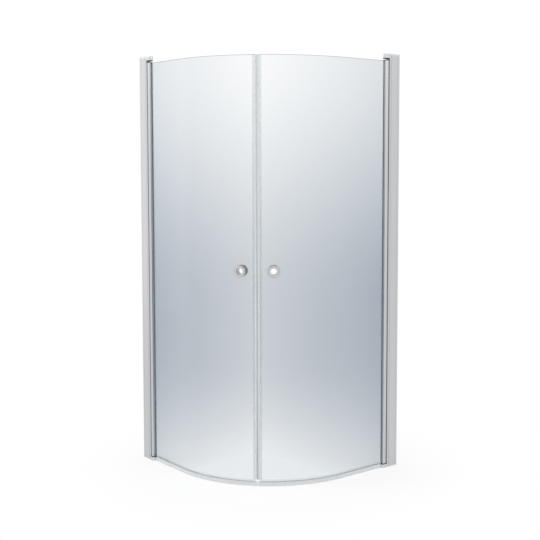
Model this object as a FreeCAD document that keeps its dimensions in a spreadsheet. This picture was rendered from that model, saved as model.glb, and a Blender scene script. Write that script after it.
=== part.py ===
"""Quadrant shower enclosure: two curved glass doors, each hung in a post that is screwed to a wall.

Row frame: +Z up, floor at Z 0, the origin in the middle of the square footprint. The walls are the
planes X = -footprint / 2 (left) and Y = +footprint / 2 (right), and the doors face +X and -Y.

Every left-hand piece is drawn in the left corner's frame: its X runs off the left wall along the
door, its Y runs from the outer face into the shower. The right-hand pieces are their mirror
images about the upright plane through the room corner.
"""

import FreeCAD, Part
import math
import os
import re
import Sketcher

Vector = FreeCAD.Vector

# Driving dimensions in millimetres and degrees, with what each one measures.
SIZES = {
    # the whole
    "footprint": 900.0,          # side of the square that the enclosure stands in
    "corner_radius": 550.0,      # radius of the rounded front corner of that square
    "overall_height": 2000.0,    # floor to the top of the brackets
    "face_setback": 13.0,        # footprint line to the outer face of the glass
    "glass_thickness": 6.0,
    # wall channel and post
    "profile_width": 26.0,       # width of the post along the wall
    "channel_wall": 1.6,
    "channel_depth": 42.0,       # wall to the tips of the channel's legs
    "channel_reveal": 13.0,      # wall to the back edge of the post
    "sleeve_gap": 0.2,           # between the channel's legs and the post's legs
    "post_wall": 1.6,
    "adjust_room": 4.0,          # channel tips to the post's cross web
    "post_edge_radius": 2.5,
    "horn_setback": 10.0,        # hinge axis back to the front edges of the post
    "seat_gap": 1.0,             # hollow seat to the hinge tube
    "front_wall": 4.5,           # depth of metal behind the seat
    "port_width": 7.0,           # screw port, across the post
    "port_depth": 8.0,           # screw port, off the wall
    "wall_hole_radius": 2.75,
    "wall_hole_first": 100.0,    # height of the lowest wall screw hole
    "wall_hole_count": 4.0,
    # hinge
    "hinge_reach": 76.0,         # wall to the hinge axis
    "tube_radius": 11.0,
    "jaw_reach": 13.0,           # hinge axis to the mouth of the glass slot
    "outer_jaw_wall": 5.5,       # metal between the rubber and the outside of the tube
    "inner_jaw_wall": 2.0,
    "glass_grip": 5.5,           # depth of glass inside the slot
    "gasket_outside": 2.5,       # rubber on the outer face of the glass
    "gasket_inside": 2.0,        # rubber on the inner face of the glass
    "gasket_back": 0.8,          # rubber behind the edge of the glass
    "gasket_lip": 1.0,           # rubber standing out of the mouth
    "pin_radius": 3.0,
    "pin_hold": 13.0,            # length of pin inside a bracket
    "pin_reach": 20.0,           # length of pin inside a plug
    "running_gap": 0.05,         # radial clearance round a pin
    "fit_gap": 0.05,             # clearance between pieces that are fitted together
    "plug_radius": 5.0,
    "plug_length": 24.0,
    "flange_thickness": 3.0,     # plug flange that closes the end of the tube
    "washer_thickness": 1.0,
    "washer_radius": 8.0,
    "bush_thickness": 4.0,
    "bush_inset": 1.0,           # bracket arm's outline to the bush's
    "lift_gap": 5.0,             # room to lift the door off its lower pin
    "block_height": 17.0,        # floor to the top of the pivot block
    "foot_plate": 5.0,
    "arm_height": 20.0,
    "cap_plate": 10.0,
    "arm_overhang": 20.0,        # hinge axis to the rounded end of arm and block
    "bracket_back": 0.5,         # wall to the back edge of the brackets
    "arm_fillet": 1.5,
    # strip between post and tube
    "strip_foot_width": 5.0,
    "strip_foot_depth": 1.5,
    "strip_neck_width": 2.2,
    "strip_lip_gap": 0.3,        # lip to the tube
    "strip_cover": 1.4,          # metal over the strip's foot
    # screws
    "lock_first": 250.0,         # height of the lowest locking screw
    "lock_count": 3.0,
    "lock_reach": 29.0,          # wall to the locking screws
    "lock_radius": 2.0,
    "lock_head_radius": 3.75,
    "lock_head_height": 2.2,
    "lock_length": 8.0,
    "cap_radius": 6.0,
    "cap_wall": 0.8,
    "port_screw_radius": 2.1,
    "port_screw_head": 4.0,
    "port_screw_length": 28.0,
    "pin_screw_radius": 2.0,
    "pin_screw_sink": 1.0,       # outer face of the arm to the screw
    # strip on the meeting edges
    "seam_clearance": 0.15,      # seal nose to the middle plane
    "nose_flat": 0.4,
    "nose_depth": 3.0,           # middle plane to the shoulders of the nose
    "seal_wall": 1.0,
    "seal_clearance": 0.1,       # seals to the glass
    "seal_leg": 10.0,            # length of the clip's legs on the glass
    "glass_to_seam": 11.0,       # edge of the glass to the middle plane
    "magnet_width": 5.0,
    "magnet_depth": 5.6,
    # strip under the glass
    "sweep_wall": 1.2,
    "sweep_grip": 10.0,          # height of the sweep's legs on the glass
    "sweep_floor_gap": 1.0,
    "sweep_to_seam": 0.3,        # middle plane to the outer corner of the sweep's end
    "sweep_mitre": 0.7,          # how far the end falls back for each mm into the shower
    "sweep_start": 22.0,         # hinge axis to the start of the sweep
    "fin_run": 5.0,              # how far the drip fin leans into the shower
    "fin_drop": 9.0,
    "strip_rest_gap": 0.3,       # top of the sweep to the foot of the clip strip
    # ring grip
    "grip_height": 996.0,        # floor to the centre of the grip
    "grip_to_seam": 75.0,        # along the glass from the middle plane
    "grip_radius": 27.0,
    "grip_bore": 15.0,
    "grip_depth": 20.0,
    "grip_rounding": 2.5,
    "grip_lip": 4.0,             # outer end of each ring that covers the sleeve
    "sleeve_wall": 2.0,
    "glass_hole_gap": 1.0,
    "washer_seat": 1.5,          # rubbery washer between ring and glass
    "grip_washer_radius": 25.0,
    "grip_screw_radius": 1.5,
    "grip_screw_sink": 0.5,
}

# Sizes that follow from the driving dimensions.
DERIVED = {
    "axis_inset": "profile_width / 2",
    "wall_hole_pitch": "(overall_height - 2 * wall_hole_first) / (wall_hole_count - 1)",
    "lock_pitch": "(overall_height - 2 * lock_first) / (lock_count - 1)",
    "turn_center": "footprint - corner_radius",
    "outer_radius": "corner_radius - face_setback",
    "inner_radius": "outer_radius - glass_thickness",
    "middle_radius": "outer_radius - glass_thickness / 2",
    "inner_face": "face_setback + glass_thickness",
    "post_front": "hinge_reach - horn_setback",
    "seat_radius": "tube_radius + seat_gap",
    "seat_bottom": "hinge_reach - seat_radius",
    "chamber_front": "seat_bottom - front_wall",
    "chamber_back": "channel_depth + adjust_room + post_wall",
    "port_middle": "(chamber_back + chamber_front) / 2",
    "post_bottom": "foot_plate",
    "post_top": "overall_height - cap_plate",
    "arm_under": "overall_height - arm_height",
    "door_bottom": "block_height + washer_thickness + flange_thickness",
    "door_top": "arm_under - bush_thickness - lift_gap - flange_thickness",
    "glass_start": "hinge_reach + jaw_reach - glass_grip",
    "slot_back": "glass_start - gasket_back - fit_gap",
    "slot_outside": "face_setback - gasket_outside - fit_gap",
    "slot_inside": "inner_face + gasket_inside + fit_gap",
    "bracket_reach": "hinge_reach + arm_overhang",
    "sweep_top": "door_bottom + sweep_grip",
    "sleeve_radius": "grip_bore + sleeve_wall",
    "grip_turn": "grip_to_seam / middle_radius * 180 / pi",
    "grip_angle": "0 - 45 - grip_turn",
}

DIAGONAL = math.sqrt(0.5)

doc = FreeCAD.newDocument("QuadrantShowerEnclosure")
sheet = doc.addObject("Spreadsheet::Sheet", "Sizes")


def bound(formula):
    """The formula with each size's name pointing at its cell."""
    return re.sub(r"[a-z]\w*_\w+|footprint", lambda word: "Sizes." + word.group(0), str(formula))


def fill_sheet():
    """Write the driving and the derived sizes, one a row, name beside value."""
    row = 0
    for name, value in SIZES.items():
        row += 1
        sheet.set(f"A{row}", name)
        sheet.set(f"B{row}", repr(value))
        sheet.setAlias(f"B{row}", name)
    for name, formula in DERIVED.items():
        row += 1
        sheet.set(f"A{row}", name)
        sheet.set(f"B{row}", "=" + formula)
        sheet.setAlias(f"B{row}", name)
    doc.recompute()


def size(formula):
    """What a formula of sizes comes to, as a plain number."""
    value = sheet.evalExpression(bound(formula).replace("Sizes.", ""))
    return float(getattr(value, "Value", value))


def bind(thing, prop, formula):
    """Tie a property to a formula of sizes."""
    thing.setExpression(prop, bound(formula))


def new_body(name, x="0", y="0", z="0", turn=None):
    """A body in the left corner's frame, moved by x, y, z and turned about the upright axis."""
    body = doc.addObject("PartDesign::Body", name)
    body.Label = name
    bind(body, "Placement.Base.x", f"({x}) - footprint / 2")
    bind(body, "Placement.Base.y", f"({y}) - footprint / 2")
    bind(body, "Placement.Base.z", z)
    if turn is not None:
        body.Placement.Rotation = FreeCAD.Rotation(Vector(0, 0, 1), size(turn))
        bind(body, "Placement.Rotation.Angle", turn)
    return body


def origin_feature(body, role):
    """One of the body's own origin planes or axes."""
    return next(f for f in body.Origin.OriginFeatures if f.Role == role)


def new_sketch(body, name, role, lift="0"):
    """A sketch on an origin plane of the body, lifted along that plane's normal."""
    sketch = body.newObject("Sketcher::SketchObject", f"{body.Name}_{name}")
    sketch.AttachmentSupport = (origin_feature(body, role), [""])
    sketch.MapMode = "FlatFace"
    bind(sketch, "AttachmentOffset.Base.z", lift)
    return sketch


def pin_point(sketch, edge, end, x, y):
    """Tie one end of a sketch edge to a place given by two formulas."""
    for kind, formula in (("DistanceX", x), ("DistanceY", y)):
        index = sketch.addConstraint(Sketcher.Constraint(kind, -1, 1, edge, end, size(formula)))
        bind(sketch, f"Constraints[{index}]", formula)


def arc_between(start, end, center):
    """The shorter arc round a centre from start to end, and whether it runs backwards."""
    circle = Part.Circle(center, Vector(0, 0, 1), (start - center).Length)
    begin = math.atan2(start.y - center.y, start.x - center.x)
    finish = math.atan2(end.y - center.y, end.x - center.x)
    sweep = (finish - begin) % (2 * math.pi)
    backwards = sweep > math.pi
    first, last = (finish, begin) if backwards else (begin, finish)
    if last < first:
        last += 2 * math.pi
    return Part.ArcOfCircle(circle, first, last), backwards


def draw(sketch, corners):
    """Close an outline through corners (x, y) of formulas.

    A corner (x, y, radius, center_x, center_y) is left along an arc of that radius and centre.
    """
    places = [Vector(size(corner[0]), size(corner[1]), 0) for corner in corners]
    ends = []
    for index, corner in enumerate(corners):
        start = places[index]
        end = places[(index + 1) % len(places)]
        if len(corner) == 2:
            edge = sketch.addGeometry(Part.LineSegment(start, end))
            ends.append((edge, 1, 2))
            continue
        radius, center_x, center_y = corner[2:]
        arc, backwards = arc_between(start, end, Vector(size(center_x), size(center_y), 0))
        edge = sketch.addGeometry(arc)
        ends.append((edge, 2, 1) if backwards else (edge, 1, 2))
        limit = sketch.addConstraint(Sketcher.Constraint("Radius", edge, size(radius)))
        bind(sketch, f"Constraints[{limit}]", radius)
    for index, (edge, first, last) in enumerate(ends):
        follower, follower_first, _ = ends[(index + 1) % len(ends)]
        sketch.addConstraint(Sketcher.Constraint("Coincident", edge, last, follower, follower_first))
    for (edge, first, last), corner in zip(ends, corners):
        pin_point(sketch, edge, first, corner[0], corner[1])


def draw_circle(sketch, x, y, radius):
    """A circle whose centre and radius are formulas."""
    circle = Part.Circle(Vector(size(x), size(y), 0), Vector(0, 0, 1), size(radius))
    edge = sketch.addGeometry(circle)
    pin_point(sketch, edge, 3, x, y)
    index = sketch.addConstraint(Sketcher.Constraint("Radius", edge, size(radius)))
    bind(sketch, f"Constraints[{index}]", radius)


def pad(body, sketch, length):
    """Raise a sketch along its plane's normal."""
    feature = body.newObject("PartDesign::Pad", sketch.Name + "_pad")
    feature.Profile = sketch
    bind(feature, "Length", length)
    return feature


def prism(body, name, corners, bottom, top):
    """An upright solid with the given outline from one height to another."""
    sketch = new_sketch(body, name, "XY_Plane", bottom)
    draw(sketch, corners)
    return pad(body, sketch, f"({top}) - ({bottom})")


def round_prism(body, name, x, y, radius, bottom, top):
    """An upright round bar."""
    sketch = new_sketch(body, name, "XY_Plane", bottom)
    draw_circle(sketch, x, y, radius)
    return pad(body, sketch, f"({top}) - ({bottom})")


def cut(body, sketch, depth, forward=False):
    """Cut a sketch into the body: against its plane's normal, or forward along it."""
    before = body.Shape.Volume
    feature = body.newObject("PartDesign::Pocket", sketch.Name + "_cut")
    feature.Profile = sketch
    feature.Reversed = forward
    bind(feature, "Length", depth)
    doc.recompute()
    if not body.Shape.Volume < before:
        raise RuntimeError(sketch.Name + " cuts nothing")
    return feature


def hollow(body, name, corners, bottom, top):
    """Cut an upright opening with the given outline from one height to another."""
    doc.recompute()
    sketch = new_sketch(body, name, "XY_Plane", bottom)
    draw(sketch, corners)
    return cut(body, sketch, f"({top}) - ({bottom})", forward=True)


def bore(body, name, x, y, radius, bottom, top):
    """Drill an upright hole from one height to another."""
    doc.recompute()
    sketch = new_sketch(body, name, "XY_Plane", bottom)
    draw_circle(sketch, x, y, radius)
    return cut(body, sketch, f"({top}) - ({bottom})", forward=True)


def turned(body, name, corners, axis="V_Axis"):
    """A solid of revolution from a half outline on the body's XZ plane."""
    sketch = new_sketch(body, name, "XZ_Plane")
    draw(sketch, corners)
    feature = body.newObject("PartDesign::Revolution", sketch.Name + "_turn")
    feature.Profile = sketch
    feature.ReferenceAxis = (sketch, [axis])
    feature.Angle = 360
    return feature


def repeat(body, feature, role, pitch, count):
    """Repeat a feature along one of the body's axes."""
    doc.recompute()
    pattern = body.newObject("PartDesign::LinearPattern", feature.Name + "_row")
    pattern.Originals = [feature]
    pattern.Direction = (origin_feature(body, role), [""])
    bind(pattern, "Length", f"({pitch}) * ({count} - 1)")
    bind(pattern, "Occurrences", count)
    body.Tip = pattern
    return pattern


def round_edges(body, radius, wanted):
    """Fillet the edges of the body for which the test says yes."""
    doc.recompute()
    base = body.Tip
    names = [f"Edge{number}" for number, edge in enumerate(base.Shape.Edges, 1) if wanted(edge)]
    feature = body.newObject("PartDesign::Fillet", body.Name + "_rounding")
    feature.Base = (base, names)
    bind(feature, "Radius", radius)
    return feature


def upright_at(x, y):
    """Test for an upright edge at a place in the body's frame."""
    place = Vector(size(x), size(y), 0)

    def wanted(edge):
        first = edge.firstVertex().Point
        last = edge.lastVertex().Point
        upright = math.hypot(first.x - last.x, first.y - last.y) < 1e-6
        return upright and math.hypot(first.x - place.x, first.y - place.y) < 1e-3

    return wanted


def box_outline(x1, x2, y1, y2):
    """A rectangle between two pairs of formulas."""
    return [(x1, y1), (x2, y1), (x2, y2), (x1, y2)]


def seam_place(radial, tangent):
    """A place in the corner's frame, given along and across the middle plane from the turn."""
    x = f"turn_center + {DIAGONAL} * (({radial}) - ({tangent}))"
    y = f"corner_radius - {DIAGONAL} * (({radial}) + ({tangent}))"
    return x, y


def on_arc(radius, tangent):
    """The place on an arc round the turn that stands off the middle plane by tangent."""
    return seam_place(f"sqrt(({radius})^2 - ({tangent})^2)", tangent)


# ---------------------------------------------------------------- fixed to the wall

def wall_channel():
    """U-channel on the wall, with a row of holes for the wall screws."""
    body = new_body("left_wall_channel")
    side = "(post_wall + sleeve_gap)"
    outline = [
        ("0", side),
        ("channel_depth", side),
        ("channel_depth", f"{side} + channel_wall"),
        ("channel_wall", f"{side} + channel_wall"),
        ("channel_wall", f"profile_width - {side} - channel_wall"),
        ("channel_depth", f"profile_width - {side} - channel_wall"),
        ("channel_depth", f"profile_width - {side}"),
        ("0", f"profile_width - {side}"),
    ]
    prism(body, "section", outline, "post_bottom", "post_top")
    doc.recompute()
    sketch = new_sketch(body, "wall_hole", "YZ_Plane")
    draw_circle(sketch, "axis_inset", "wall_hole_first", "wall_hole_radius")
    hole = cut(body, sketch, "channel_wall", forward=True)
    repeat(body, hole, "Z_Axis", "wall_hole_pitch", "wall_hole_count")
    drill_lock_holes(body, f"profile_width - {side}", "channel_wall")
    return body


def drill_lock_holes(body, face, depth):
    """Holes of the locking screws, from a face inside the shower through one leg."""
    doc.recompute()
    sketch = new_sketch(body, "lock_hole", "XZ_Plane", f"0 - ({face})")
    draw_circle(sketch, "lock_reach", "lock_first", "lock_radius + fit_gap")
    hole = cut(body, sketch, depth, forward=True)
    repeat(body, hole, "Z_Axis", "lock_pitch", "lock_count")


def post():
    """Adjusting post: legs over the channel, a screw chamber and the hollow seat of the tube."""
    body = new_body("left_post")
    half_seat = "sqrt(seat_radius^2 - horn_setback^2)"
    outline = [
        ("channel_reveal", "0"),
        ("post_front", "0"),
        ("post_front", f"axis_inset - {half_seat}", "seat_radius", "hinge_reach", "axis_inset"),
        ("post_front", f"axis_inset + {half_seat}"),
        ("post_front", "profile_width"),
        ("channel_reveal", "profile_width"),
    ]
    prism(body, "section", outline, "post_bottom", "post_top")
    corners = [upright_at("post_front", "0"), upright_at("post_front", "profile_width")]
    round_edges(body, "post_edge_radius", lambda edge: any(test(edge) for test in corners))
    back = box_outline("channel_reveal", "chamber_back - post_wall", "post_wall", "profile_width - post_wall")
    hollow(body, "back_room", back, "post_bottom", "post_top")
    near = "post_wall"
    far = "profile_width - post_wall"
    port_start = "port_middle - port_depth / 2"
    port_end = "port_middle + port_depth / 2"
    chamber = [
        ("chamber_back", near),
        (port_start, near),
        (port_start, f"{near} + port_width"),
        (port_end, f"{near} + port_width"),
        (port_end, near),
        ("chamber_front", near),
        ("chamber_front", far),
        (port_end, far),
        (port_end, f"{far} - port_width"),
        (port_start, f"{far} - port_width"),
        (port_start, far),
        ("chamber_back", far),
    ]
    hollow(body, "chamber", chamber, "post_bottom", "post_top")
    hollow(body, "strip_slot", strip_outline("fit_gap", "tube_radius"), "post_bottom", "post_top")
    reach = "port_screw_length"
    for number, inset in enumerate(port_insets(), 1):
        bore(body, f"low_port_{number}", "port_middle", inset, "port_screw_radius + fit_gap", "post_bottom", reach)
        bore(body, f"high_port_{number}", "port_middle", inset, "port_screw_radius + fit_gap",
             f"overall_height - ({reach})", "post_top")
    drill_lock_holes(body, "profile_width", "post_wall")
    return body


def port_insets():
    """How far the two screw ports lie from the outer face of the post."""
    return "post_wall + port_width / 2", "profile_width - post_wall - port_width / 2"


def strip_outline(gap, tip_radius):
    """T-shaped outline of the lip strip, grown by a gap, up to a radius from the hinge axis."""
    foot = f"(strip_foot_width / 2 + {gap})"
    neck = f"(strip_neck_width / 2 + {gap})"
    back = f"seat_bottom - strip_cover - strip_foot_depth - {gap}"
    step = f"seat_bottom - strip_cover + {gap}"
    tip = f"hinge_reach - ({tip_radius}) + {gap}"
    return [
        (back, f"axis_inset - {foot}"),
        (step, f"axis_inset - {foot}"),
        (step, f"axis_inset - {neck}"),
        (tip, f"axis_inset - {neck}"),
        (tip, f"axis_inset + {neck}"),
        (step, f"axis_inset + {neck}"),
        (step, f"axis_inset + {foot}"),
        (back, f"axis_inset + {foot}"),
    ]


def hinge_seal():
    """Soft strip in the post whose lip closes the gap to the turning tube."""
    body = new_body("left_hinge_seal")
    tip_radius = "tube_radius + strip_lip_gap"
    prism(body, "section", strip_outline("0", tip_radius), "post_bottom", "post_top")
    return body


def arm_outline(start, inset="0"):
    """Bracket outline from a start off the wall to the rounded end, drawn in by an inset."""
    radius = f"(profile_width / 2 - {inset})"
    center = "bracket_reach - profile_width / 2"
    return [
        (start, inset),
        (center, inset, radius, center, "axis_inset"),
        (f"{center} + {radius}", "axis_inset", radius, center, "axis_inset"),
        (center, f"profile_width - {inset}"),
        (start, f"profile_width - {inset}"),
    ]


def bracket(name, plate_bottom, plate_top, block_bottom, block_top, pin_bottom, pin_top, screw_height):
    """Plate over the end of the post with the block that holds a hinge pin."""
    body = new_body(name)
    prism(body, "plate", arm_outline("bracket_back"), plate_bottom, plate_top)
    prism(body, "block", arm_outline("post_front + strip_lip_gap"), block_bottom, block_top)
    doc.recompute()
    face = size("overall_height" if size(block_top) > size("grip_height") else block_bottom)
    outer = size("post_front")

    def rim(edge):
        flat = abs(edge.BoundBox.ZMax - face) < 1e-6 and abs(edge.BoundBox.ZMin - face) < 1e-6
        return flat and edge.BoundBox.XMax > outer and face > 0

    if face > 0:
        round_edges(body, "arm_fillet", rim)
    bore(body, "pin_hole", "hinge_reach", "axis_inset", "pin_radius + fit_gap", pin_bottom, pin_top)
    for number, inset in enumerate(port_insets(), 1):
        bore(body, f"screw_hole_{number}", "port_middle", inset, "port_screw_radius + fit_gap",
             plate_bottom, plate_top)
        countersink(body, number, inset, plate_bottom, plate_top)
    doc.recompute()
    sketch = new_sketch(body, "pin_screw_hole", "XZ_Plane")
    draw_circle(sketch, "hinge_reach", screw_height, "pin_screw_radius + fit_gap")
    cut(body, sketch, "axis_inset - pin_radius", forward=False)
    return body


def countersink(body, number, inset, plate_bottom, plate_top):
    """Cone in a bracket plate for the head of a port screw, open to the outside."""
    doc.recompute()
    upper = size(plate_top) > size("grip_height")
    outside, inward = (plate_top, "-") if upper else (plate_bottom, "+")
    rim = "(port_screw_head + fit_gap)"
    neck = "(port_screw_radius + fit_gap)"
    sketch = new_sketch(body, f"sink_{number}", "XZ_Plane", f"0 - ({inset})")
    draw(sketch, [
        ("port_middle", outside),
        (f"port_middle + {rim}", outside),
        (f"port_middle + {neck}", f"({outside}) {inward} ({rim} - {neck})"),
        ("port_middle", f"({outside}) {inward} ({rim} - {neck})"),
    ])
    feature = body.newObject("PartDesign::Groove", sketch.Name + "_turn")
    feature.Profile = sketch
    feature.ReferenceAxis = (sketch, ["Edge4"])
    feature.Angle = 360


def brackets():
    """The upper bracket with its long arm and the lower one with the pivot block."""
    bracket("left_top_bracket", "post_top", "overall_height", "arm_under", "overall_height",
            "arm_under", "arm_under + pin_hold", "arm_under + arm_height / 2")
    bracket("left_bottom_bracket", "0", "foot_plate", "0", "block_height",
            "block_height - pin_hold", "block_height", "block_height / 2")


def top_bush():
    """Black bush under the arm, round the upper pin."""
    body = new_body("left_top_bush")
    prism(body, "section", arm_outline("post_front + strip_lip_gap", "bush_inset"),
          "arm_under - bush_thickness", "arm_under")
    bore(body, "hole", "hinge_reach", "axis_inset", "pin_radius + fit_gap",
         "arm_under - bush_thickness", "arm_under")
    return body


def ring(name, inner, outer, bottom, top):
    """A flat ring on the hinge axis."""
    body = new_body(name, "hinge_reach", "axis_inset")
    turned(body, "section", [(inner, bottom), (outer, bottom), (outer, top), (inner, top)])
    return body


def pin(name, bottom, top):
    """A hinge pin with chamfered ends."""
    body = new_body(name, "hinge_reach", "axis_inset")
    bevel = "(pin_radius / 4)"
    turned(body, "section", [
        ("0", bottom),
        (f"pin_radius - {bevel}", bottom),
        ("pin_radius", f"({bottom}) + {bevel}"),
        ("pin_radius", f"({top}) - {bevel}"),
        (f"pin_radius - {bevel}", top),
        ("0", top),
    ])
    return body


def hinge_fixed_parts():
    """The pins and the washer that carries the door."""
    pin("left_top_pin", "door_top + flange_thickness - pin_reach", "arm_under + pin_hold")
    pin("left_bottom_pin", "block_height - pin_hold", "door_bottom - flange_thickness + pin_reach")
    ring("left_lower_washer", "pin_radius + running_gap", "washer_radius", "block_height",
         "block_height + washer_thickness")


def lock_screws():
    """Pan-head screws through post and channel, from inside the shower."""
    body = new_body("left_lock_screws", "lock_reach", "profile_width", "lock_first")
    sketch = new_sketch(body, "half", "XY_Plane")
    draw(sketch, [
        ("0", "0 - lock_length"),
        ("lock_radius", "0 - lock_length"),
        ("lock_radius", "0"),
        ("lock_head_radius", "0"),
        ("lock_head_radius", "lock_head_height / 2"),
        ("lock_head_radius * 0.8", "lock_head_height"),
        ("0", "lock_head_height"),
    ])
    screw = body.newObject("PartDesign::Revolution", "left_lock_screw")
    screw.Profile = sketch
    screw.ReferenceAxis = (sketch, ["V_Axis"])
    screw.Angle = 360
    repeat(body, screw, "Z_Axis", "lock_pitch", "lock_count")
    return body


def screw_caps():
    """Snap caps over the heads of the locking screws."""
    body = new_body("left_screw_caps", "lock_reach", "profile_width", "lock_first")
    inner = "(lock_head_radius + fit_gap)"
    roof = "(lock_head_height + fit_gap)"
    sketch = new_sketch(body, "half", "XY_Plane")
    draw(sketch, [
        (inner, "0"),
        ("cap_radius", "0"),
        (f"{inner} + cap_wall", f"{roof} + cap_wall"),
        ("0", f"{roof} + cap_wall"),
        ("0", roof),
        (inner, roof),
    ])
    cap = body.newObject("PartDesign::Revolution", "left_screw_cap")
    cap.Profile = sketch
    cap.ReferenceAxis = (sketch, ["V_Axis"])
    cap.Angle = 360
    repeat(body, cap, "Z_Axis", "lock_pitch", "lock_count")
    return body


def bracket_screws():
    """Countersunk screws in the four ports: two up from the floor side, two down from the top."""
    body = new_body("left_bracket_screws", "port_middle", "0")
    for number, inset in enumerate(port_insets(), 1):
        for side, outside, inward in (("low", "0", "+"), ("high", "overall_height", "-")):
            sketch = new_sketch(body, f"{side}_{number}", "XZ_Plane", f"0 - ({inset})")
            taper = "(port_screw_head - port_screw_radius)"
            draw(sketch, [
                ("0", outside),
                ("port_screw_head", outside),
                ("port_screw_radius", f"{outside} {inward} {taper}"),
                ("port_screw_radius", f"{outside} {inward} (port_screw_length - fit_gap)"),
                ("0", f"{outside} {inward} (port_screw_length - fit_gap)"),
            ])
            screw = body.newObject("PartDesign::Revolution", sketch.Name + "_turn")
            screw.Profile = sketch
            screw.ReferenceAxis = (sketch, ["Edge5"])
            screw.Angle = 360
            doc.recompute()
    return body


def pin_screws():
    """Grub screws in the outer face of arm and block that lock the pins."""
    body = new_body("left_pin_screws", "hinge_reach", "0")
    for side, height in (("low", "block_height / 2"), ("high", "arm_under + arm_height / 2")):
        sketch = new_sketch(body, side, "XZ_Plane", "0 - pin_screw_sink")
        draw_circle(sketch, "0", height, "pin_screw_radius")
        feature = pad(body, sketch, "axis_inset - pin_radius - pin_screw_sink - fit_gap")
        feature.Reversed = True
        doc.recompute()
    return body


# ---------------------------------------------------------------- the door

def tube_outline():
    """Round back, straight jaws and flat mouth of the hinge tube."""
    outside = "slot_outside - outer_jaw_wall"
    inside = "slot_inside + inner_jaw_wall"
    mouth = "hinge_reach + jaw_reach"
    near = "axis_inset - tube_radius"
    far = "axis_inset + tube_radius"
    return [
        ("hinge_reach", near),
        (mouth, outside),
        (mouth, inside),
        ("hinge_reach", far, "tube_radius", "hinge_reach", "axis_inset"),
        ("hinge_reach - tube_radius", "axis_inset", "tube_radius", "hinge_reach", "axis_inset"),
    ]


def hinge_tube():
    """Hinge tube with a round bore for the plugs and the slot for glass and rubber."""
    body = new_body("left_hinge_tube")
    prism(body, "section", tube_outline(), "door_bottom", "door_top")
    bore(body, "bore", "hinge_reach", "axis_inset", "plug_radius + fit_gap", "door_bottom", "door_top")
    slot = box_outline("slot_back", "hinge_reach + jaw_reach", "slot_outside", "slot_inside")
    hollow(body, "slot", slot, "door_bottom", "door_top")
    return body


def plug(name, flange_bottom, spigot_bottom, hole_bottom):
    """End plug: a flange with the tube's outline and a spigot bored for the pin."""
    body = new_body(name)
    prism(body, "flange", tube_outline(), flange_bottom, f"({flange_bottom}) + flange_thickness")
    round_prism(body, "spigot", "hinge_reach", "axis_inset", "plug_radius",
                spigot_bottom, f"({spigot_bottom}) + plug_length")
    bore(body, "hole", "hinge_reach", "axis_inset", "pin_radius + running_gap",
         hole_bottom, f"({hole_bottom}) + pin_reach + running_gap")
    return body


def plugs():
    """The bearings of the upper and the lower pin."""
    plug("left_top_plug", "door_top", "door_top - plug_length",
         "door_top + flange_thickness - pin_reach - running_gap")
    plug("left_bottom_plug", "door_bottom - flange_thickness", "door_bottom",
         "door_bottom - flange_thickness")


def glass_gasket():
    """Rubber channel round the hinge edge of the glass."""
    body = new_body("left_glass_gasket")
    mouth = "hinge_reach + jaw_reach + gasket_lip"
    back = "glass_start - gasket_back"
    outline = [
        (back, "face_setback - gasket_outside"),
        (mouth, "face_setback - gasket_outside"),
        (mouth, "face_setback - fit_gap"),
        ("glass_start - fit_gap", "face_setback - fit_gap"),
        ("glass_start - fit_gap", "inner_face + fit_gap"),
        (mouth, "inner_face + fit_gap"),
        (mouth, "inner_face + gasket_inside"),
        (back, "inner_face + gasket_inside"),
    ]
    prism(body, "section", outline, "door_bottom", "door_top")
    return body


def glass():
    """Pane that runs straight off the hinge and then round the corner to the meeting edge."""
    body = new_body("left_glass")
    outer = on_arc("outer_radius", "glass_to_seam")
    inner = on_arc("inner_radius", "glass_to_seam")
    outline = [
        ("glass_start", "face_setback"),
        ("turn_center", "face_setback", "outer_radius", "turn_center", "corner_radius"),
        outer,
        (inner[0], inner[1], "inner_radius", "turn_center", "corner_radius"),
        ("turn_center", "inner_face"),
        ("glass_start", "inner_face"),
    ]
    prism(body, "section", outline, "door_bottom", "door_top")
    doc.recompute()
    sketch = new_sketch(body, "grip_hole", "YZ_Plane")
    sketch.AttachmentOffset = FreeCAD.Placement(
        Vector(size("corner_radius"), size("grip_height"), size("turn_center")),
        FreeCAD.Rotation(Vector(0, 1, 0), size("grip_angle")))
    bind(sketch, "AttachmentOffset.Base.x", "corner_radius")
    bind(sketch, "AttachmentOffset.Base.y", "grip_height")
    bind(sketch, "AttachmentOffset.Base.z", "turn_center")
    bind(sketch, "AttachmentOffset.Rotation.Angle", "grip_angle")
    draw_circle(sketch, "0", "0", "sleeve_radius + glass_hole_gap")
    cut(body, sketch, "corner_radius", forward=True)
    return body


def seam_seal():
    """Clip strip on the meeting edge, with a blunt nose and a room for the magnet."""
    body = new_body("left_seam_seal")
    outside = "outer_radius + seal_clearance"
    inside = "inner_radius - seal_clearance"
    leg_end = "glass_to_seam + seal_leg"
    glass_stop = "glass_to_seam - seal_clearance"
    half = "(glass_thickness / 2 + seal_clearance + seal_wall)"
    outline = [
        on_arc(f"{outside} + seal_wall", leg_end),
        on_arc(f"{outside} + seal_wall", "glass_to_seam"),
        seam_place(f"middle_radius + {half}", "nose_depth"),
        seam_place("middle_radius + nose_flat / 2", "seam_clearance"),
        seam_place("middle_radius - nose_flat / 2", "seam_clearance"),
        seam_place(f"middle_radius - {half}", "nose_depth"),
        on_arc(f"{inside} - seal_wall", "glass_to_seam"),
        on_arc(f"{inside} - seal_wall", leg_end),
        on_arc(inside, leg_end),
        on_arc(inside, glass_stop),
        on_arc(outside, glass_stop),
        on_arc(outside, leg_end),
    ]
    bottom = "sweep_top + strip_rest_gap"
    prism(body, "section", outline, bottom, "door_top")
    hollow(body, "magnet_room", magnet_outline("fit_gap"), bottom, "door_top")
    return body


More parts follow.
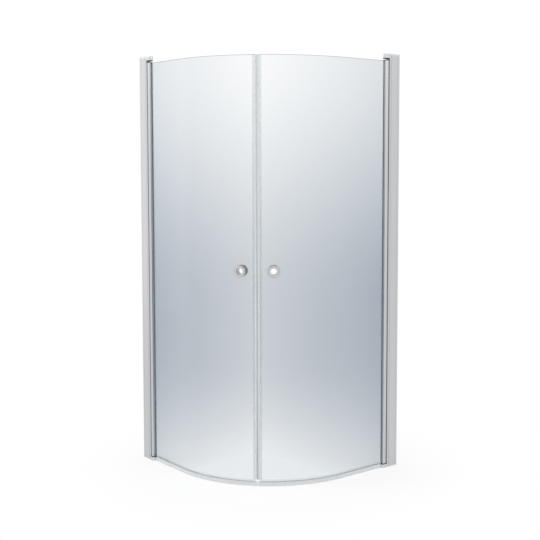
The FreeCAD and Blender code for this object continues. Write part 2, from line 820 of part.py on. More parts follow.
def magnet_outline(gap):
    """Rectangle of the magnet between the nose and the glass, grown by a gap."""
    half = f"(magnet_width / 2 + {gap})"
    middle = "(glass_to_seam - seal_clearance + nose_depth - seal_wall / 2) / 2"
    near = f"{middle} - magnet_depth / 2 - {gap}"
    far = f"{middle} + magnet_depth / 2 + {gap}"
    return [
        seam_place(f"middle_radius + {half}", near),
        seam_place(f"middle_radius - {half}", near),
        seam_place(f"middle_radius - {half}", far),
        seam_place(f"middle_radius + {half}", far),
    ]


def magnet_strip():
    """Magnet bar inside the clip strip."""
    body = new_body("left_magnet_strip")
    prism(body, "section", magnet_outline("0"), "sweep_top + strip_rest_gap", "door_top")
    return body


def bottom_seal():
    """Sweep under the glass: two legs on the glass, a skirt to the floor and a drip fin."""
    body = new_body("left_bottom_seal")
    start = "hinge_reach + sweep_start"
    path = new_sketch(body, "path", "XY_Plane")
    middle = "face_setback + glass_thickness / 2"
    finish = on_arc("middle_radius", "0")
    places = [Vector(size(x), size(y), 0) for x, y in ((start, middle), ("turn_center", middle), finish)]
    straight = path.addGeometry(Part.LineSegment(places[0], places[1]))
    arc, _ = arc_between(places[1], places[2], Vector(size("turn_center"), size("corner_radius"), 0))
    bend = path.addGeometry(arc)
    path.addConstraint(Sketcher.Constraint("Coincident", straight, 2, bend, 1))
    pin_point(path, straight, 1, start, middle)
    pin_point(path, straight, 2, "turn_center", middle)
    pin_point(path, bend, 2, *finish)
    limit = path.addConstraint(Sketcher.Constraint("Radius", bend, size("middle_radius")))
    bind(path, f"Constraints[{limit}]", "middle_radius")

    section = new_sketch(body, "section", "YZ_Plane", start)
    outside = "face_setback - seal_clearance"
    inside = "inner_face + seal_clearance"
    roof = "door_bottom - seal_clearance"
    floor = f"{roof} - sweep_wall"
    draw(section, [
        (f"{outside} - sweep_wall", "sweep_floor_gap"),
        (outside, "sweep_floor_gap"),
        (outside, floor),
        (inside, floor),
        (f"{inside} + fin_run", f"{floor} - fin_drop"),
        (f"{inside} + fin_run + sweep_wall", f"{floor} - fin_drop"),
        (f"{inside} + sweep_wall", roof),
        (f"{inside} + sweep_wall", "sweep_top"),
        (inside, "sweep_top"),
        (inside, roof),
        (outside, roof),
        (outside, "sweep_top"),
        (f"{outside} - sweep_wall", "sweep_top"),
    ])
    pipe = body.newObject("PartDesign::AdditivePipe", "left_bottom_seal_run")
    pipe.Profile = section
    pipe.Spine = (path, ["Edge1", "Edge2"])
    skirt = "(outer_radius + seal_clearance + sweep_wall)"
    beyond = f"({skirt} + sweep_wall)"
    within = f"({skirt} - 2 * glass_thickness - fin_run)"
    wedge = [
        seam_place(beyond, "sweep_to_seam - sweep_mitre * sweep_wall"),
        seam_place(within, "sweep_to_seam + sweep_mitre * (2 * glass_thickness + fin_run)"),
        seam_place(within, "0 - glass_to_seam"),
        seam_place(beyond, "0 - glass_to_seam"),
    ]
    hollow(body, "mitre", wedge, "0", "sweep_top + sweep_wall")


def grip_body(name):
    """A body whose X runs out through the middle of the grip from the turn's centre."""
    return new_body(name, "turn_center", "corner_radius", "grip_height", "grip_angle")


def grip_rings():
    """The two fat rings of the grip, each with a lip over the end of the sleeve."""
    round_in = "grip_bore + grip_rounding"
    round_out = "grip_radius - grip_rounding"
    for side, base, way in (
            ("outer", "(outer_radius + washer_seat)", "+"),
            ("inner", "(inner_radius - washer_seat)", "-")):
        body = grip_body(f"left_grip_{side}_ring")
        face = f"{base} {way} grip_depth"
        shoulder = f"{base} {way} (grip_depth - grip_rounding)"
        step = f"{base} {way} (grip_depth - grip_lip)"
        turned(body, "section", [
            (base, "sleeve_radius + fit_gap"),
            (base, "grip_radius"),
            (shoulder, "grip_radius", "grip_rounding", shoulder, round_out),
            (face, round_out),
            (face, round_in, "grip_rounding", shoulder, round_in),
            (shoulder, "grip_bore"),
            (step, "grip_bore"),
            (step, "sleeve_radius + fit_gap"),
        ], "H_Axis")
        if side == "inner":
            doc.recompute()
            sketch = new_sketch(body, "screw_hole", "XY_Plane", "0 - grip_radius")
            draw_circle(sketch, f"{base} - grip_depth / 2", "0", "grip_screw_radius + fit_gap")
            cut(body, sketch, "grip_radius - grip_bore", forward=True)


def grip_sleeve():
    """Sleeve through the hole in the glass that joins the two rings."""
    body = grip_body("left_grip_sleeve")
    reach = "(washer_seat + grip_depth - grip_lip - fit_gap)"
    turned(body, "section", [
        (f"inner_radius - {reach}", "grip_bore"),
        (f"outer_radius + {reach}", "grip_bore"),
        (f"outer_radius + {reach}", "sleeve_radius"),
        (f"inner_radius - {reach}", "sleeve_radius"),
    ], "H_Axis")


def grip_screw():
    """Grub screw under the inner ring."""
    body = grip_body("left_grip_screw")
    sketch = new_sketch(body, "section", "XY_Plane", "grip_screw_sink - grip_radius")
    draw_circle(sketch, "inner_radius - washer_seat - grip_depth / 2", "0", "grip_screw_radius")
    pad(body, sketch, "grip_radius - grip_screw_sink - sleeve_radius - fit_gap")
    return body


def grip_washers():
    """Two soft washers, each flat under its ring and hollowed or crowned to the glass."""
    inner = "(sleeve_radius + fit_gap)"
    rings = []
    for side, start, end in (
            ("outer", "middle_radius", "outer_radius + washer_seat"),
            ("inner", "inner_radius - washer_seat", "middle_radius")):
        body = grip_body(f"left_grip_washer_{side}")
        turned(body, "section", [
            (start, inner), (end, inner), (end, "grip_washer_radius"), (start, "grip_washer_radius")], "H_Axis")
        rings.append(body)
    pane = grip_body("left_grip_pane")
    sketch = new_sketch(pane, "section", "XY_Plane", "0 - grip_radius")
    draw_circle(sketch, "0", "0", "outer_radius + seal_clearance")
    draw_circle(sketch, "0", "0", "inner_radius - seal_clearance")
    pad(pane, sketch, "2 * grip_radius")
    both = doc.addObject("Part::Compound", "left_grip_washer_rings")
    both.Links = rings
    washers = doc.addObject("Part::Cut", "left_grip_washers")
    washers.Label = "left_grip_washers"
    washers.Base = both
    washers.Tool = pane
    return washers


# ---------------------------------------------------------------- the whole

LEFT_PIECES = [
    "left_wall_channel", "left_post", "left_hinge_seal", "left_top_bracket", "left_bottom_bracket",
    "left_top_bush", "left_top_pin", "left_bottom_pin", "left_lower_washer", "left_lock_screws",
    "left_screw_caps", "left_bracket_screws", "left_pin_screws",
    "left_hinge_tube", "left_top_plug", "left_bottom_plug", "left_glass_gasket", "left_glass",
    "left_seam_seal", "left_magnet_strip", "left_bottom_seal", "left_grip_outer_ring",
    "left_grip_inner_ring", "left_grip_sleeve", "left_grip_washers", "left_grip_screw",
]


def build_left():
    """Draw every left-hand piece."""
    for make in (wall_channel, post, hinge_seal, brackets, top_bush, hinge_fixed_parts, lock_screws,
                 screw_caps, bracket_screws, pin_screws, hinge_tube, plugs, glass_gasket, glass,
                 seam_seal, magnet_strip, bottom_seal, grip_rings, grip_sleeve, grip_screw,
                 grip_washers):
        make()
    doc.recompute()


def mirror_right():
    """Mirror each left-hand piece about the upright plane through the room corner."""
    mirrored = []
    for name in LEFT_PIECES:
        copy = doc.addObject("Part::Mirroring", name.replace("left_", "right_"))
        copy.Label = copy.Name
        copy.Source = doc.getObject(name)
        copy.Base = Vector(0, 0, 0)
        copy.Normal = Vector(1, 1, 0)
        mirrored.append(copy)
    doc.recompute()
    return mirrored


def check(pieces):
    """Stop if any object failed or any piece is empty or broken."""
    for thing in doc.Objects:
        if "Invalid" in thing.State or "Error" in thing.State:
            raise RuntimeError(f"{thing.Name}: {thing.State}")
    for piece in pieces:
        if piece.Shape.isNull() or not piece.Shape.isValid() or not piece.Shape.Solids:
            raise RuntimeError(piece.Label + " has no valid solid")


def main():
    fill_sheet()
    build_left()
    pieces = [doc.getObject(name) for name in LEFT_PIECES] + mirror_right()
    check(pieces)
    os.makedirs("parts", exist_ok=True)
    for piece in pieces:
        piece.Shape.exportStep(f"parts/{piece.Label}.step")
        print(piece.Label, len(piece.Shape.Solids), round(piece.Shape.Volume / 1000, 2), "cm3")


main()
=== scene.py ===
"""Dresses the packed quadrant shower enclosure: profiles, hinges, glass, seals, grips, screws and stage.

Lengths are in metres. Left-hand pieces are drawn in the left corner's frame, where u runs off the left
wall along the door and v runs from the outer face into the shower. The right-hand pieces are their mirror
images about the upright plane through the room corner.
"""

import math

import bmesh
import bpy
from bpy.props import FloatProperty, FloatVectorProperty, IntProperty, PointerProperty
from bpy.types import Operator, Panel, PropertyGroup
from mathutils import Matrix, Vector


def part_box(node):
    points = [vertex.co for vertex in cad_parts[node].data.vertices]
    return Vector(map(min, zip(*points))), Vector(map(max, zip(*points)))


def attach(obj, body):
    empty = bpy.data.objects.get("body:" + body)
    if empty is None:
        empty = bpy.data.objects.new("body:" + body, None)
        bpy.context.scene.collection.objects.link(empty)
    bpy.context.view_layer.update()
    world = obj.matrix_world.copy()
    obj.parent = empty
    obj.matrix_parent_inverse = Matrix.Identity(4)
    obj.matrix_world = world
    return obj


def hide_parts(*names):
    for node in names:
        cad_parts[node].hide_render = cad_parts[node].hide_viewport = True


bl_info = {
    "name": "Quadrant shower enclosure",
    "version": (1, 0, 0),
    "blender": (4, 5, 0),
    "location": "3D View > Sidebar > Shower",
    "description": "Builds the profiles, doors, seals, grips and screws of a quadrant shower enclosure",
    "category": "Add Mesh",
}

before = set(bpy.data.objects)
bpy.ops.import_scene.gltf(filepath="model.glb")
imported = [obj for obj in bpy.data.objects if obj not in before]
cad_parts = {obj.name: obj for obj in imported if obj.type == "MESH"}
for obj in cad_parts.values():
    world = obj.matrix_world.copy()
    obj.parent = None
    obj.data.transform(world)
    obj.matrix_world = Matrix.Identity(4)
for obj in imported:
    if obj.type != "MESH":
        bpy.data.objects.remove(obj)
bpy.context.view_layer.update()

SMOOTH_ANGLE = math.radians(35)
WELD = 1e-6
PLAY = 0.00005  # between pieces that bear on each other
OVERRUN = 0.001  # of a cutter past the face that it opens
THROUGH = 0.05  # of a cutter that goes all the way through
SOFT_EDGE = 0.0004  # rounding of small moulded and turned edges
DIAGONAL = math.sqrt(0.5)
MIRROR = Matrix(((0, -1, 0, 0), (-1, 0, 0, 0), (0, 0, 1, 0), (0, 0, 0, 1)))

FLOOR_RADIUS = 40.0
FLOOR_DROP = 0.0005
LAMPS = (  # name, place, point that it faces, side of its square
    ("key", (-3.0, -4.2, 4.6), (0.0, 0.0, 1.0), 2.4),
    ("fill", (4.6, 1.5, 4.4), (0.0, 0.0, 1.0), 2.4),
    ("side", (-3.9, -2.5, 1.4), (-0.4, -0.45, 1.0), 2.6),
)


# ---------------------------------------------------------------- sizes and looks

def length(name, description, default):
    """A length in metres."""
    return FloatProperty(name=name, description=description, default=default, min=0, precision=5,
                         unit="LENGTH")


def amount(name, description, default, top=1.0):
    """A plain share or strength."""
    return FloatProperty(name=name, description=description, default=default, min=0, max=top)


def number(name, description, default, least, most):
    """A whole number of pieces or steps."""
    return IntProperty(name=name, description=description, default=default, min=least, max=most)


def color(name, description, default):
    """A linear colour."""
    return FloatVectorProperty(name=name, description=description, default=default, min=0, max=1,
                               size=3, subtype="COLOR")


def power(name, description, default):
    """A lamp's power in watts."""
    return FloatProperty(name=name, description=description, default=default, min=0, unit="POWER")


def angle(name, description, degrees):
    """An angle, given in degrees."""
    return FloatProperty(name=name, description=description, default=math.radians(degrees), unit="ROTATION")


class LayoutSizes(PropertyGroup):
    """Where the enclosure stands and how the doors run."""

    footprint: length("Footprint", "Side of the square that the enclosure stands in", 0.9)
    corner_radius: length("Corner radius", "Radius of the rounded front corner of that square", 0.55)
    face_setback: length("Face setback", "Footprint line to the outer face of the glass", 0.013)
    profile_width: length("Profile width", "Width of a post along its wall", 0.026)
    hinge_reach: length("Hinge reach", "Wall to the hinge axis", 0.076)


class ProfileSizes(PropertyGroup):
    """Post, lip strip and hinge tube."""

    channel_reveal: length("Channel reveal", "Wall to the back edge of the post", 0.013)
    web_back: length("Web", "Wall to the post's cross web", 0.046)
    post_wall: length("Post wall", "Thickness of the post's legs", 0.0016)
    post_front: length("Post front", "Wall to the front edges of the post", 0.066)
    post_rounding: length("Post rounding", "Radius of the post's front edges", 0.0025)
    groove_reach: length("Groove reach", "Wall to the fine groove in each side of the post", 0.056)
    groove_width: length("Groove width", "Width of that groove", 0.0024)
    groove_depth: length("Groove depth", "Depth of that groove", 0.0006)
    seat_gap: length("Seat gap", "Hollow seat to the hinge tube", 0.001)
    strip_foot: length("Strip foot", "Width of the lip strip's foot", 0.005)
    strip_neck: length("Strip neck", "Width of the lip strip's neck", 0.0022)
    strip_back: length("Strip back", "Wall to the back of the strip's foot", 0.0611)
    strip_step: length("Strip step", "Wall to the front of the strip's foot", 0.0626)
    strip_gap: length("Strip gap", "Lip strip to the hinge tube", 0.0003)
    tube_radius: length("Tube radius", "Round back of the hinge tube", 0.011)
    jaw_reach: length("Jaw reach", "Hinge axis to the mouth of the glass slot", 0.013)
    jaw_slope: length("Jaw slope", "How far the outer jaw draws in at the mouth; the inner one takes a third",
                      0.00295)
    jaw_wall: length("Jaw wall", "Thickness of the outer jaw at the mouth", 0.0055)
    jaw_rounding: length("Jaw rounding", "Radius of the jaws' front edges", 0.0006)
    slot_back: length("Slot back", "Wall to the back of the glass slot", 0.08265)


class BracketSizes(PropertyGroup):
    """Brackets at the ends of the posts, and the bearings between them and the doors."""

    overhang: length("Overhang", "Hinge axis to the rounded end of arm and block", 0.02)
    wall_gap: length("Wall gap", "Wall to the back edge of the brackets", 0.0005)
    post_gap: length("Post gap", "Front of the post to the blocks and the bushes", 0.0003)
    arm_rounding: length("Arm rounding", "Radius of the upper rim", 0.0015)
    edge_rounding: length("Edge rounding", "Softening of the other edges", 0.0003)
    edge_angle: angle("Edge angle", "Edges that turn by more than this are softened", 60)
    bush_inset: length("Bush inset", "Arm's outline to the bush's", 0.001)
    pin_radius: length("Pin radius", "Radius of the hinge pins", 0.003)
    plug_radius: length("Plug radius", "Radius of the plugs' spigots", 0.005)
    flange: length("Flange", "Thickness of the plugs' flanges", 0.003)
    washer_radius: length("Washer radius", "Radius of the washer that carries the door", 0.008)
    port_reach: length("Port reach", "Wall to the bracket screws", 0.05355)
    port_inset: length("Port inset", "Face of the post to the nearer bracket screw", 0.0051)


class PaneSizes(PropertyGroup):
    """Curved glass panes and the rubber round their hinge edges."""

    thickness: length("Thickness", "Thickness of the glass", 0.006)
    start: length("Start", "Wall to the hinge edge of the glass", 0.0835)
    to_seam: length("To seam", "Edge of the glass to the middle plane", 0.011)
    arris: length("Arris", "Ground edge of the glass", 0.001)
    bend_steps: number("Bend steps", "Facets round the bend", 88, 8, 200)
    lip: length("Lip", "Rubber standing out of the tube's mouth", 0.001)
    rubber: length("Rubber", "Rubber between the glass and the inner jaw", 0.002)
    rubber_rounding: length("Rubber rounding", "Radius of the rubber's front edges", 0.0008)


class SealSizes(PropertyGroup):
    """Clip strip on the meeting edge and sweep under the glass."""

    wall: length("Wall", "Wall of the clip strip", 0.001)
    clearance: length("Clearance", "Seals to the glass", 0.0001)
    leg: length("Leg", "Length of the clip's legs on the glass", 0.01)
    nose_depth: length("Nose depth", "Middle plane to the shoulders of the nose", 0.003)
    nose_flat: length("Nose flat", "Width of the blunt nose", 0.0004)
    nose_gap: length("Nose gap", "Nose to the middle plane", 0.00015)
    magnet_width: length("Magnet width", "Magnet across the glass", 0.005)
    magnet_depth: length("Magnet depth", "Magnet along the glass", 0.0056)
    sweep_wall: length("Sweep wall", "Wall of the sweep", 0.0012)
    sweep_start: length("Sweep start", "Hinge axis to the start of the sweep", 0.022)
    sweep_rounding: length("Sweep rounding", "Radius of the sweep's free edges", 0.0003)
    fin_run: length("Fin run", "How far the drip fin leans into the shower", 0.005)
    fin_drop: length("Fin drop", "How far the drip fin hangs down", 0.009)
    mitre: amount("Mitre", "How far the sweep's end falls back for each length into the shower", 0.7)
    mitre_gap: length("Mitre gap", "Middle plane to the outer corner of the sweep's end", 0.0003)


class GripSizes(PropertyGroup):
    """Ring grips that clamp through the glass."""

    height: length("Height", "Floor to the centre of the grip", 0.996)
    to_seam: length("To seam", "Along the glass from the middle plane", 0.075)
    radius: length("Radius", "Outer radius of the rings", 0.027)
    bore: length("Bore", "Radius of the finger hole", 0.015)
    depth: length("Depth", "Thickness of each ring", 0.02)
    rounding: length("Rounding", "Radius of the rings' rims", 0.0025)
    lip: length("Lip", "End of each ring that covers the sleeve", 0.004)
    sleeve_wall: length("Sleeve wall", "Wall of the sleeve", 0.002)
    seat: length("Washer", "Thickness of the washers on the glass", 0.0015)
    washer_radius: length("Washer radius", "Radius of the washers", 0.025)
    hole_gap: length("Hole gap", "Sleeve to the hole in the glass", 0.001)
    grub_radius: length("Grub radius", "Radius of the grub screw in the inner ring", 0.0015)
    grub_sink: length("Grub sink", "Flank of the ring to the grub screw", 0.0005)


class ScrewSizes(PropertyGroup):
    """Screws and caps."""

    lock_reach: length("Lock reach", "Wall to the locking screws", 0.029)
    lock_radius: length("Lock radius", "Radius of a locking screw", 0.002)
    lock_head: length("Lock head", "Radius of its head", 0.00375)
    lock_rise: length("Lock rise", "Height of its head", 0.0022)
    lock_length: length("Lock length", "Length of its shank", 0.008)
    lock_first: length("Lock first", "Height of the lowest locking screw", 0.25)
    lock_count: number("Lock count", "Locking screws in each post", 3, 2, 9)
    cap_radius: length("Cap radius", "Radius of a snap cap", 0.006)
    cap_rise: length("Cap rise", "Height of a snap cap", 0.00305)
    port_radius: length("Port radius", "Radius of a bracket screw", 0.0021)
    port_head: length("Port head", "Radius of its countersunk head", 0.004)
    port_length: length("Port length", "Length of a bracket screw", 0.02795)
    grub_radius: length("Grub radius", "Radius of the grub screws in the brackets", 0.002)
    grub_sink: length("Grub sink", "Face of the arm to the grub screw", 0.001)


class FinishLook(PropertyGroup):
    """Colours of the finishes."""

    silver: color("Silver", "Satin anodised aluminium", (0.565, 0.57, 0.585))
    chrome: color("Chrome", "Polished chrome", (0.56, 0.565, 0.58))
    # Painted dark reflection on the grips' rims, flanks and bores, in place of dark surroundings mirrored in
    # the chrome
    chrome_painted_rim_reflection: color("Chrome rim", "Rims, flanks and bores of the ring grips", (0.27, 0.275, 0.285))
    steel: color("Steel", "Stainless steel", (0.50, 0.50, 0.51))
    bracket: color("Bracket", "Plated castings over and under the posts", (0.66, 0.665, 0.68))
    black: color("Black", "Moulded black plastic", (0.018, 0.018, 0.02))
    black_rubber: color("Black rubber", "Rubber round the glass", (0.44, 0.44, 0.445))
    grey_rubber: color("Grey rubber", "Lip strip behind the tube", (0.86, 0.86, 0.87))
    clear_plastic: color("Clear plastic", "Seals on the glass", (0.86, 0.875, 0.89))
    # Painted shade of the gap where the meeting strips touch, put on their denser nose
    seam_nose_painted_shade: color("Seam nose", "Denser soft nose of the meeting strips", (0.26, 0.29, 0.29))
    sweep_plastic: color("Sweep plastic", "Milky sweep under the panes", (0.80, 0.795, 0.805))
    pale_plastic: color("Pale plastic", "Caps and washers", (0.72, 0.72, 0.71))
    magnet: color("Magnet", "Coated magnet strip", (0.93, 0.94, 0.95))


class GlassLook(PropertyGroup):
    """How the panes' veil of painted room shade changes with the height and with the distance from the seam.
    """

    # The veil is painted shade of the room seen through the glass, put into the glass as a grey
    veil: color("Veil", "Grey that the glass holds against a white room", (0.158, 0.235, 0.327))
    tint: color("Tint", "What passes through one face of the glass", (0.988, 0.994, 0.996))
    seam_share: amount("Seam share", "Veil at the meeting edges", 0.48)
    hinge_gain: amount("Hinge gain", "What the veil gains from the seam to the hinges", 0.25)
    hinge_way: length("Hinge way", "Middle plane to the hinges", 0.55)
    way_most: amount("Way most", "Share of that way past which nothing changes", 1.2, 2)
    fade: amount("Fade", "Share of the veil that is lost towards the top", 0.96)
    hinge_keep: amount("Hinge keep", "How much less of it is lost at the hinges", 0.36)
    fade_from: length("Fade from", "Height where the veil starts to fade upwards", 0.78)
    fade_to: length("Fade to", "Height where it stops fading", 2.08)
    low: length("Low", "Height where the veil starts to fade downwards", 0.64)
    low_fade: amount("Low fade", "How fast it fades there, by the square of the way down", 3.25, 9)
    low_keep: amount("Low keep", "How much less of that is lost at the hinges", 0.68)
    low_most: amount("Low most", "Greatest share that is lost there", 0.75)
    edge: color("Edge", "Ground edge of the glass", (0.12, 0.22, 0.21))
    edge_share: amount("Edge share", "How solid the ground edge looks at the top", 0.92)
    edge_low: amount("Edge low", "What is left of that at the foot", 0.36)
    edge_from: length("Edge from", "Height where the ground edge starts to gain", 0.5)
    edge_to: length("Edge to", "Height where it has gained all", 1.5)
    gloss: color("Gloss", "Reflections in the glass", (0.92, 0.95, 0.96))
    gloss_front: amount("Gloss front", "Share of the gloss on a face that is seen straight on", 0.02)
    gloss_side: amount("Gloss side", "What it gains on a face that is seen from the side", 0.55)


class StageLook(PropertyGroup):
    """Floor, lamps and camera."""

    floor: color("Floor", "Pale floor", (0.93, 0.93, 0.93))
    white_share: amount("White share", "How far the floor is drawn towards white under the object", 0.78)
    white_from: length("White from", "Distance where the floor starts to turn white", 0.6)
    white_to: length("White to", "Distance where it is all white", 1.1)
    ambient: amount("Ambient", "Strength of the white room on the object", 0.80, 4)
    key: power("Key", "Soft lamp high on the left", 110)
    fill: power("Fill", "Soft lamp high on the right", 60)
    side: power("Side", "Weak panel beside the left post", 6)
    camera_place: FloatVectorProperty(name="Camera", description="Where the camera stands", size=3,
                                      default=(3.8718, -2.9888, 1.5017), subtype="XYZ", unit="LENGTH")
    azimuth: angle("Azimuth", "Turn of the camera off +Y", 50.9772)
    pitch: angle("Pitch", "Tilt of the camera below level", 4.5074)
    lens: FloatProperty(name="Lens", description="Focal length for a sensor 36 mm wide", default=66.56,
                        unit="CAMERA")
    shift_x: FloatProperty(name="Shift X", description="Sideways shift of the lens", default=-0.0402)
    shift_y: FloatProperty(name="Shift Y", description="Upward shift of the lens", default=-0.0593)


def groups(*names):
    """The scene's property groups of these names."""
    return [getattr(bpy.context.scene, f"shower_{name}") for name in names]


# ---------------------------------------------------------------- places

def heights(node):
    """Lowest and highest point of a CAD node."""
    low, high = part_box(node)
    return low.z, high.z


def half_side():
    """Half of the footprint's side, by which the left corner's frame stands off the middle."""
    return bpy.context.scene.shower_layout.footprint / 2


def hinge_axis():
    """The hinge axis in the left corner's frame."""
    layout = bpy.context.scene.shower_layout
    return Vector((layout.hinge_reach, layout.profile_width / 2))


def turn_center():
    """The centre of the bend in the left corner's frame."""
    layout = bpy.context.scene.shower_layout
    return Vector((layout.footprint - layout.corner_radius, layout.corner_radius))


def middle_radius():
    """Radius of the glass at the middle of its thickness."""
    layout, panes = groups("layout", "panes")
    return layout.corner_radius - layout.face_setback - panes.thickness / 2


def glass_radii():
    """Radii of the faces of the glass: on the shower's side and outside."""
    half = bpy.context.scene.shower_panes.thickness / 2
    return middle_radius() - half, middle_radius() + half


def seam_place(radial, tangent):
    """A place given along the middle plane from the centre of the bend and across it."""
    return turn_center() + DIAGONAL * Vector((radial - tangent, -radial - tangent))


def on_arc(radius, tangent):
    """A place on an arc round the bend that stands off the middle plane."""
    return seam_place(math.sqrt(radius ** 2 - tangent ** 2), tangent)


def leg(radius, near, far, steps=3):
    """Places along an arc, from one distance off the middle plane to another."""
    return [on_arc(radius, near + (far - near) * step / steps) for step in range(steps + 1)]


def grip_matrix():
    """Places a turned piece on the grip's axis, with its height measured from the centre of the bend."""
    grip = bpy.context.scene.shower_grips
    bearing = -math.pi / 4 - grip.to_seam / middle_radius()
    center = turn_center()
    out = Vector((math.cos(bearing), math.sin(bearing), 0))
    up = Vector((0, 0, 1))
    turn = Matrix((up.cross(out), up, out)).transposed().to_4x4()
    return Matrix.Translation((center.x - half_side(), center.y - half_side(), grip.height)) @ turn


# ---------------------------------------------------------------- outlines and solids

def arc(center, radius, start, finish, steps):
    """Points of an arc, from one angle to another in degrees."""
    points = []
    for step in range(steps + 1):
        turned = math.radians(start + (finish - start) * step / steps)
        points.append(center + radius * Vector((math.cos(turned), math.sin(turned))))
    return points


def rounded(corners, steps=5):
    """An outline whose corners (u, v, radius) are rounded off; corners (u, v) stay sharp."""
    points = []
    for index, corner in enumerate(corners):
        here = Vector(corner[:2])
        if len(corner) == 2:
            points.append(here)
            continue
        radius = corner[2]
        back = (Vector(corners[index - 1][:2]) - here).normalized()
        ahead = (Vector(corners[(index + 1) % len(corners)][:2]) - here).normalized()
        half = back.angle(ahead) / 2
        center = here + (back + ahead).normalized() * radius / math.sin(half)
        first = here + back * radius / math.tan(half) - center
        last = here + ahead * radius / math.tan(half) - center
        start = math.degrees(math.atan2(first.y, first.x))
        turn = (math.degrees(math.atan2(last.y, last.x)) - start + 180) % 360 - 180
        points += arc(center, radius, start, start + turn, steps)
    return points


def tube_outline():
    """Round back, straight jaws and flat mouth of the hinge tube."""
    sizes = bpy.context.scene.shower_profiles
    axis = hinge_axis()
    mouth = axis.x + sizes.jaw_reach
    near = axis.y - sizes.tube_radius
    far = axis.y + sizes.tube_radius
    jaws = rounded([
        (axis.x, near), (mouth, near + sizes.jaw_slope, sizes.jaw_rounding),
        (mouth, far - sizes.jaw_slope / 3, sizes.jaw_rounding), (axis.x, far)])
    return jaws[:-1] + arc(axis, sizes.tube_radius, 90, 270, steps=32)[:-1]


def nose_outline(inset, steps):
    """Outline of an arm, block or bush from the front of the post to its round end, drawn in by an inset."""
    layout, profiles, brackets = groups("layout", "profiles", "brackets")
    wide = layout.profile_width
    start = profiles.post_front + brackets.post_gap
    center = Vector((layout.hinge_reach + brackets.overhang - wide / 2, wide / 2))
    end = arc(center, wide / 2 - inset, -90, 90, steps)
    return [Vector((start, inset)), *end, Vector((start, wide - inset))]


def loft(rings):
    """A solid through rings of as many points each, with closed ends."""
    solid = bmesh.new()
    layers = [[solid.verts.new(point) for point in ring] for ring in rings]
    for lower, upper in zip(layers, layers[1:]):
        for index in range(len(lower)):
            after = (index + 1) % len(lower)
            solid.faces.new((lower[index], lower[after], upper[after], upper[index]))
    solid.faces.new(layers[0][::-1])
    solid.faces.new(layers[-1])
    return tidy(solid)


def tidy(solid):
    """Weld a solid's doubles and turn its faces outwards."""
    bmesh.ops.remove_doubles(solid, verts=solid.verts, dist=WELD)
    bmesh.ops.recalc_face_normals(solid, faces=solid.faces)
    return solid


def prism(outline, bottom, top):
    """An upright solid with an outline in the left corner's frame."""
    half = half_side()
    return loft([[(u - half, v - half, z) for u, v in outline] for z in (bottom, top)])


def lathe(profile, steps=48):
    """A solid turned about the Z axis from a closed profile of points (radius, height)."""
    solid = bmesh.new()
    rings = []
    for radius, height in profile:
        if radius < WELD:
            rings.append([solid.verts.new((0, 0, height))] * steps)
            continue
        angles = [math.tau * step / steps for step in range(steps)]
        rings.append([solid.verts.new((radius * math.cos(a), radius * math.sin(a), height)) for a in angles])
    for lower, upper in zip(rings, rings[1:] + rings[:1]):
        for index in range(steps):
            after = (index + 1) % steps
            corners = dict.fromkeys((lower[index], lower[after], upper[after], upper[index]))
            if len(corners) > 2:
                solid.faces.new(list(corners))
    return tidy(solid)


def barrel(bore, radius, bottom, top, steps=48):
    """A turned ring or, with no bore, a rod."""
    return lathe([(bore, bottom), (radius, bottom), (radius, top), (bore, top)], steps)


def soften(solid, width, wanted=None, segments=2):
    """Round off the sharp edges of a solid, or those for which the test says yes."""
    sharp = [edge for edge in solid.edges if edge.is_manifold and edge.calc_face_angle() > SMOOTH_ANGLE]
    chosen = [edge for edge in sharp if wanted is None or wanted(edge)]
    bmesh.ops.bevel(solid, geom=chosen, offset=width, segments=segments, profile=0.5, affect="EDGES",
                    clamp_overlap=True)
    return solid


def moved(solid, matrix):
    """Put a solid in its place."""
    bmesh.ops.transform(solid, matrix=matrix, verts=solid.verts)
    return solid


def as_mesh(solid):
    """A mesh of a solid, which is used up."""
    mesh = bpy.data.meshes.new("piece")
    solid.to_mesh(mesh)
    solid.free()
    return mesh


def as_object(data, name="part"):
    """A helper object in the scene."""
    helper = bpy.data.objects.new(name, data)
    bpy.context.scene.collection.objects.link(helper)
    return helper


def plain_mesh(holder):
    """What an object's modifiers make, as a mesh of its own; the object is used up."""
    view = bpy.context.evaluated_depsgraph_get()
    mesh = bpy.data.meshes.new_from_object(holder.evaluated_get(view))
    bpy.data.objects.remove(holder)
    return mesh


def smoothed(mesh):
    """A mesh with smooth shading in which the large faces stay flat."""
    mesh.shade_smooth()
    mesh.set_sharp_from_angle(angle=SMOOTH_ANGLE)
    holder = as_object(mesh)
    holder.modifiers.new("weighted", "WEIGHTED_NORMAL").keep_sharp = True
    return plain_mesh(holder)


def drilled(solid, cutters):
    """A mesh of a solid with other solids taken out of it."""
    holder = as_object(as_mesh(solid))
    tools = [as_object(as_mesh(cutter)) for cutter in cutters]
    for tool in tools:
        modifier = holder.modifiers.new("cut", "BOOLEAN")
        modifier.operation = "DIFFERENCE"
        modifier.solver = "EXACT"
        modifier.object = tool
    mesh = plain_mesh(holder)
    for tool in tools:
        bpy.data.objects.remove(tool)
    return mesh


def joined(*meshes):
    """One mesh of several shells."""
    solid = bmesh.new()
    for mesh in meshes:
        solid.from_mesh(mesh)
    return as_mesh(solid)


def add_pair(name, mesh, node, body, material):
    """A left-hand piece and its mirror image, in place of their CAD nodes, each riding on its body."""
    for side in ("left", "right"):
        solid = bmesh.new()
        solid.from_mesh(mesh)
        if side == "right":
            moved(solid, MIRROR)
        piece = as_object(smoothed(as_mesh(tidy(solid))), f"{side}_{name}")
        piece.data.name = piece.name
        piece.data.materials.clear()
        piece.data.materials.append(material)
        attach(piece, "frame" if body == "frame" else f"{side}_{body}")
        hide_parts(f"{side}_{node}")


# ---------------------------------------------------------------- node trees

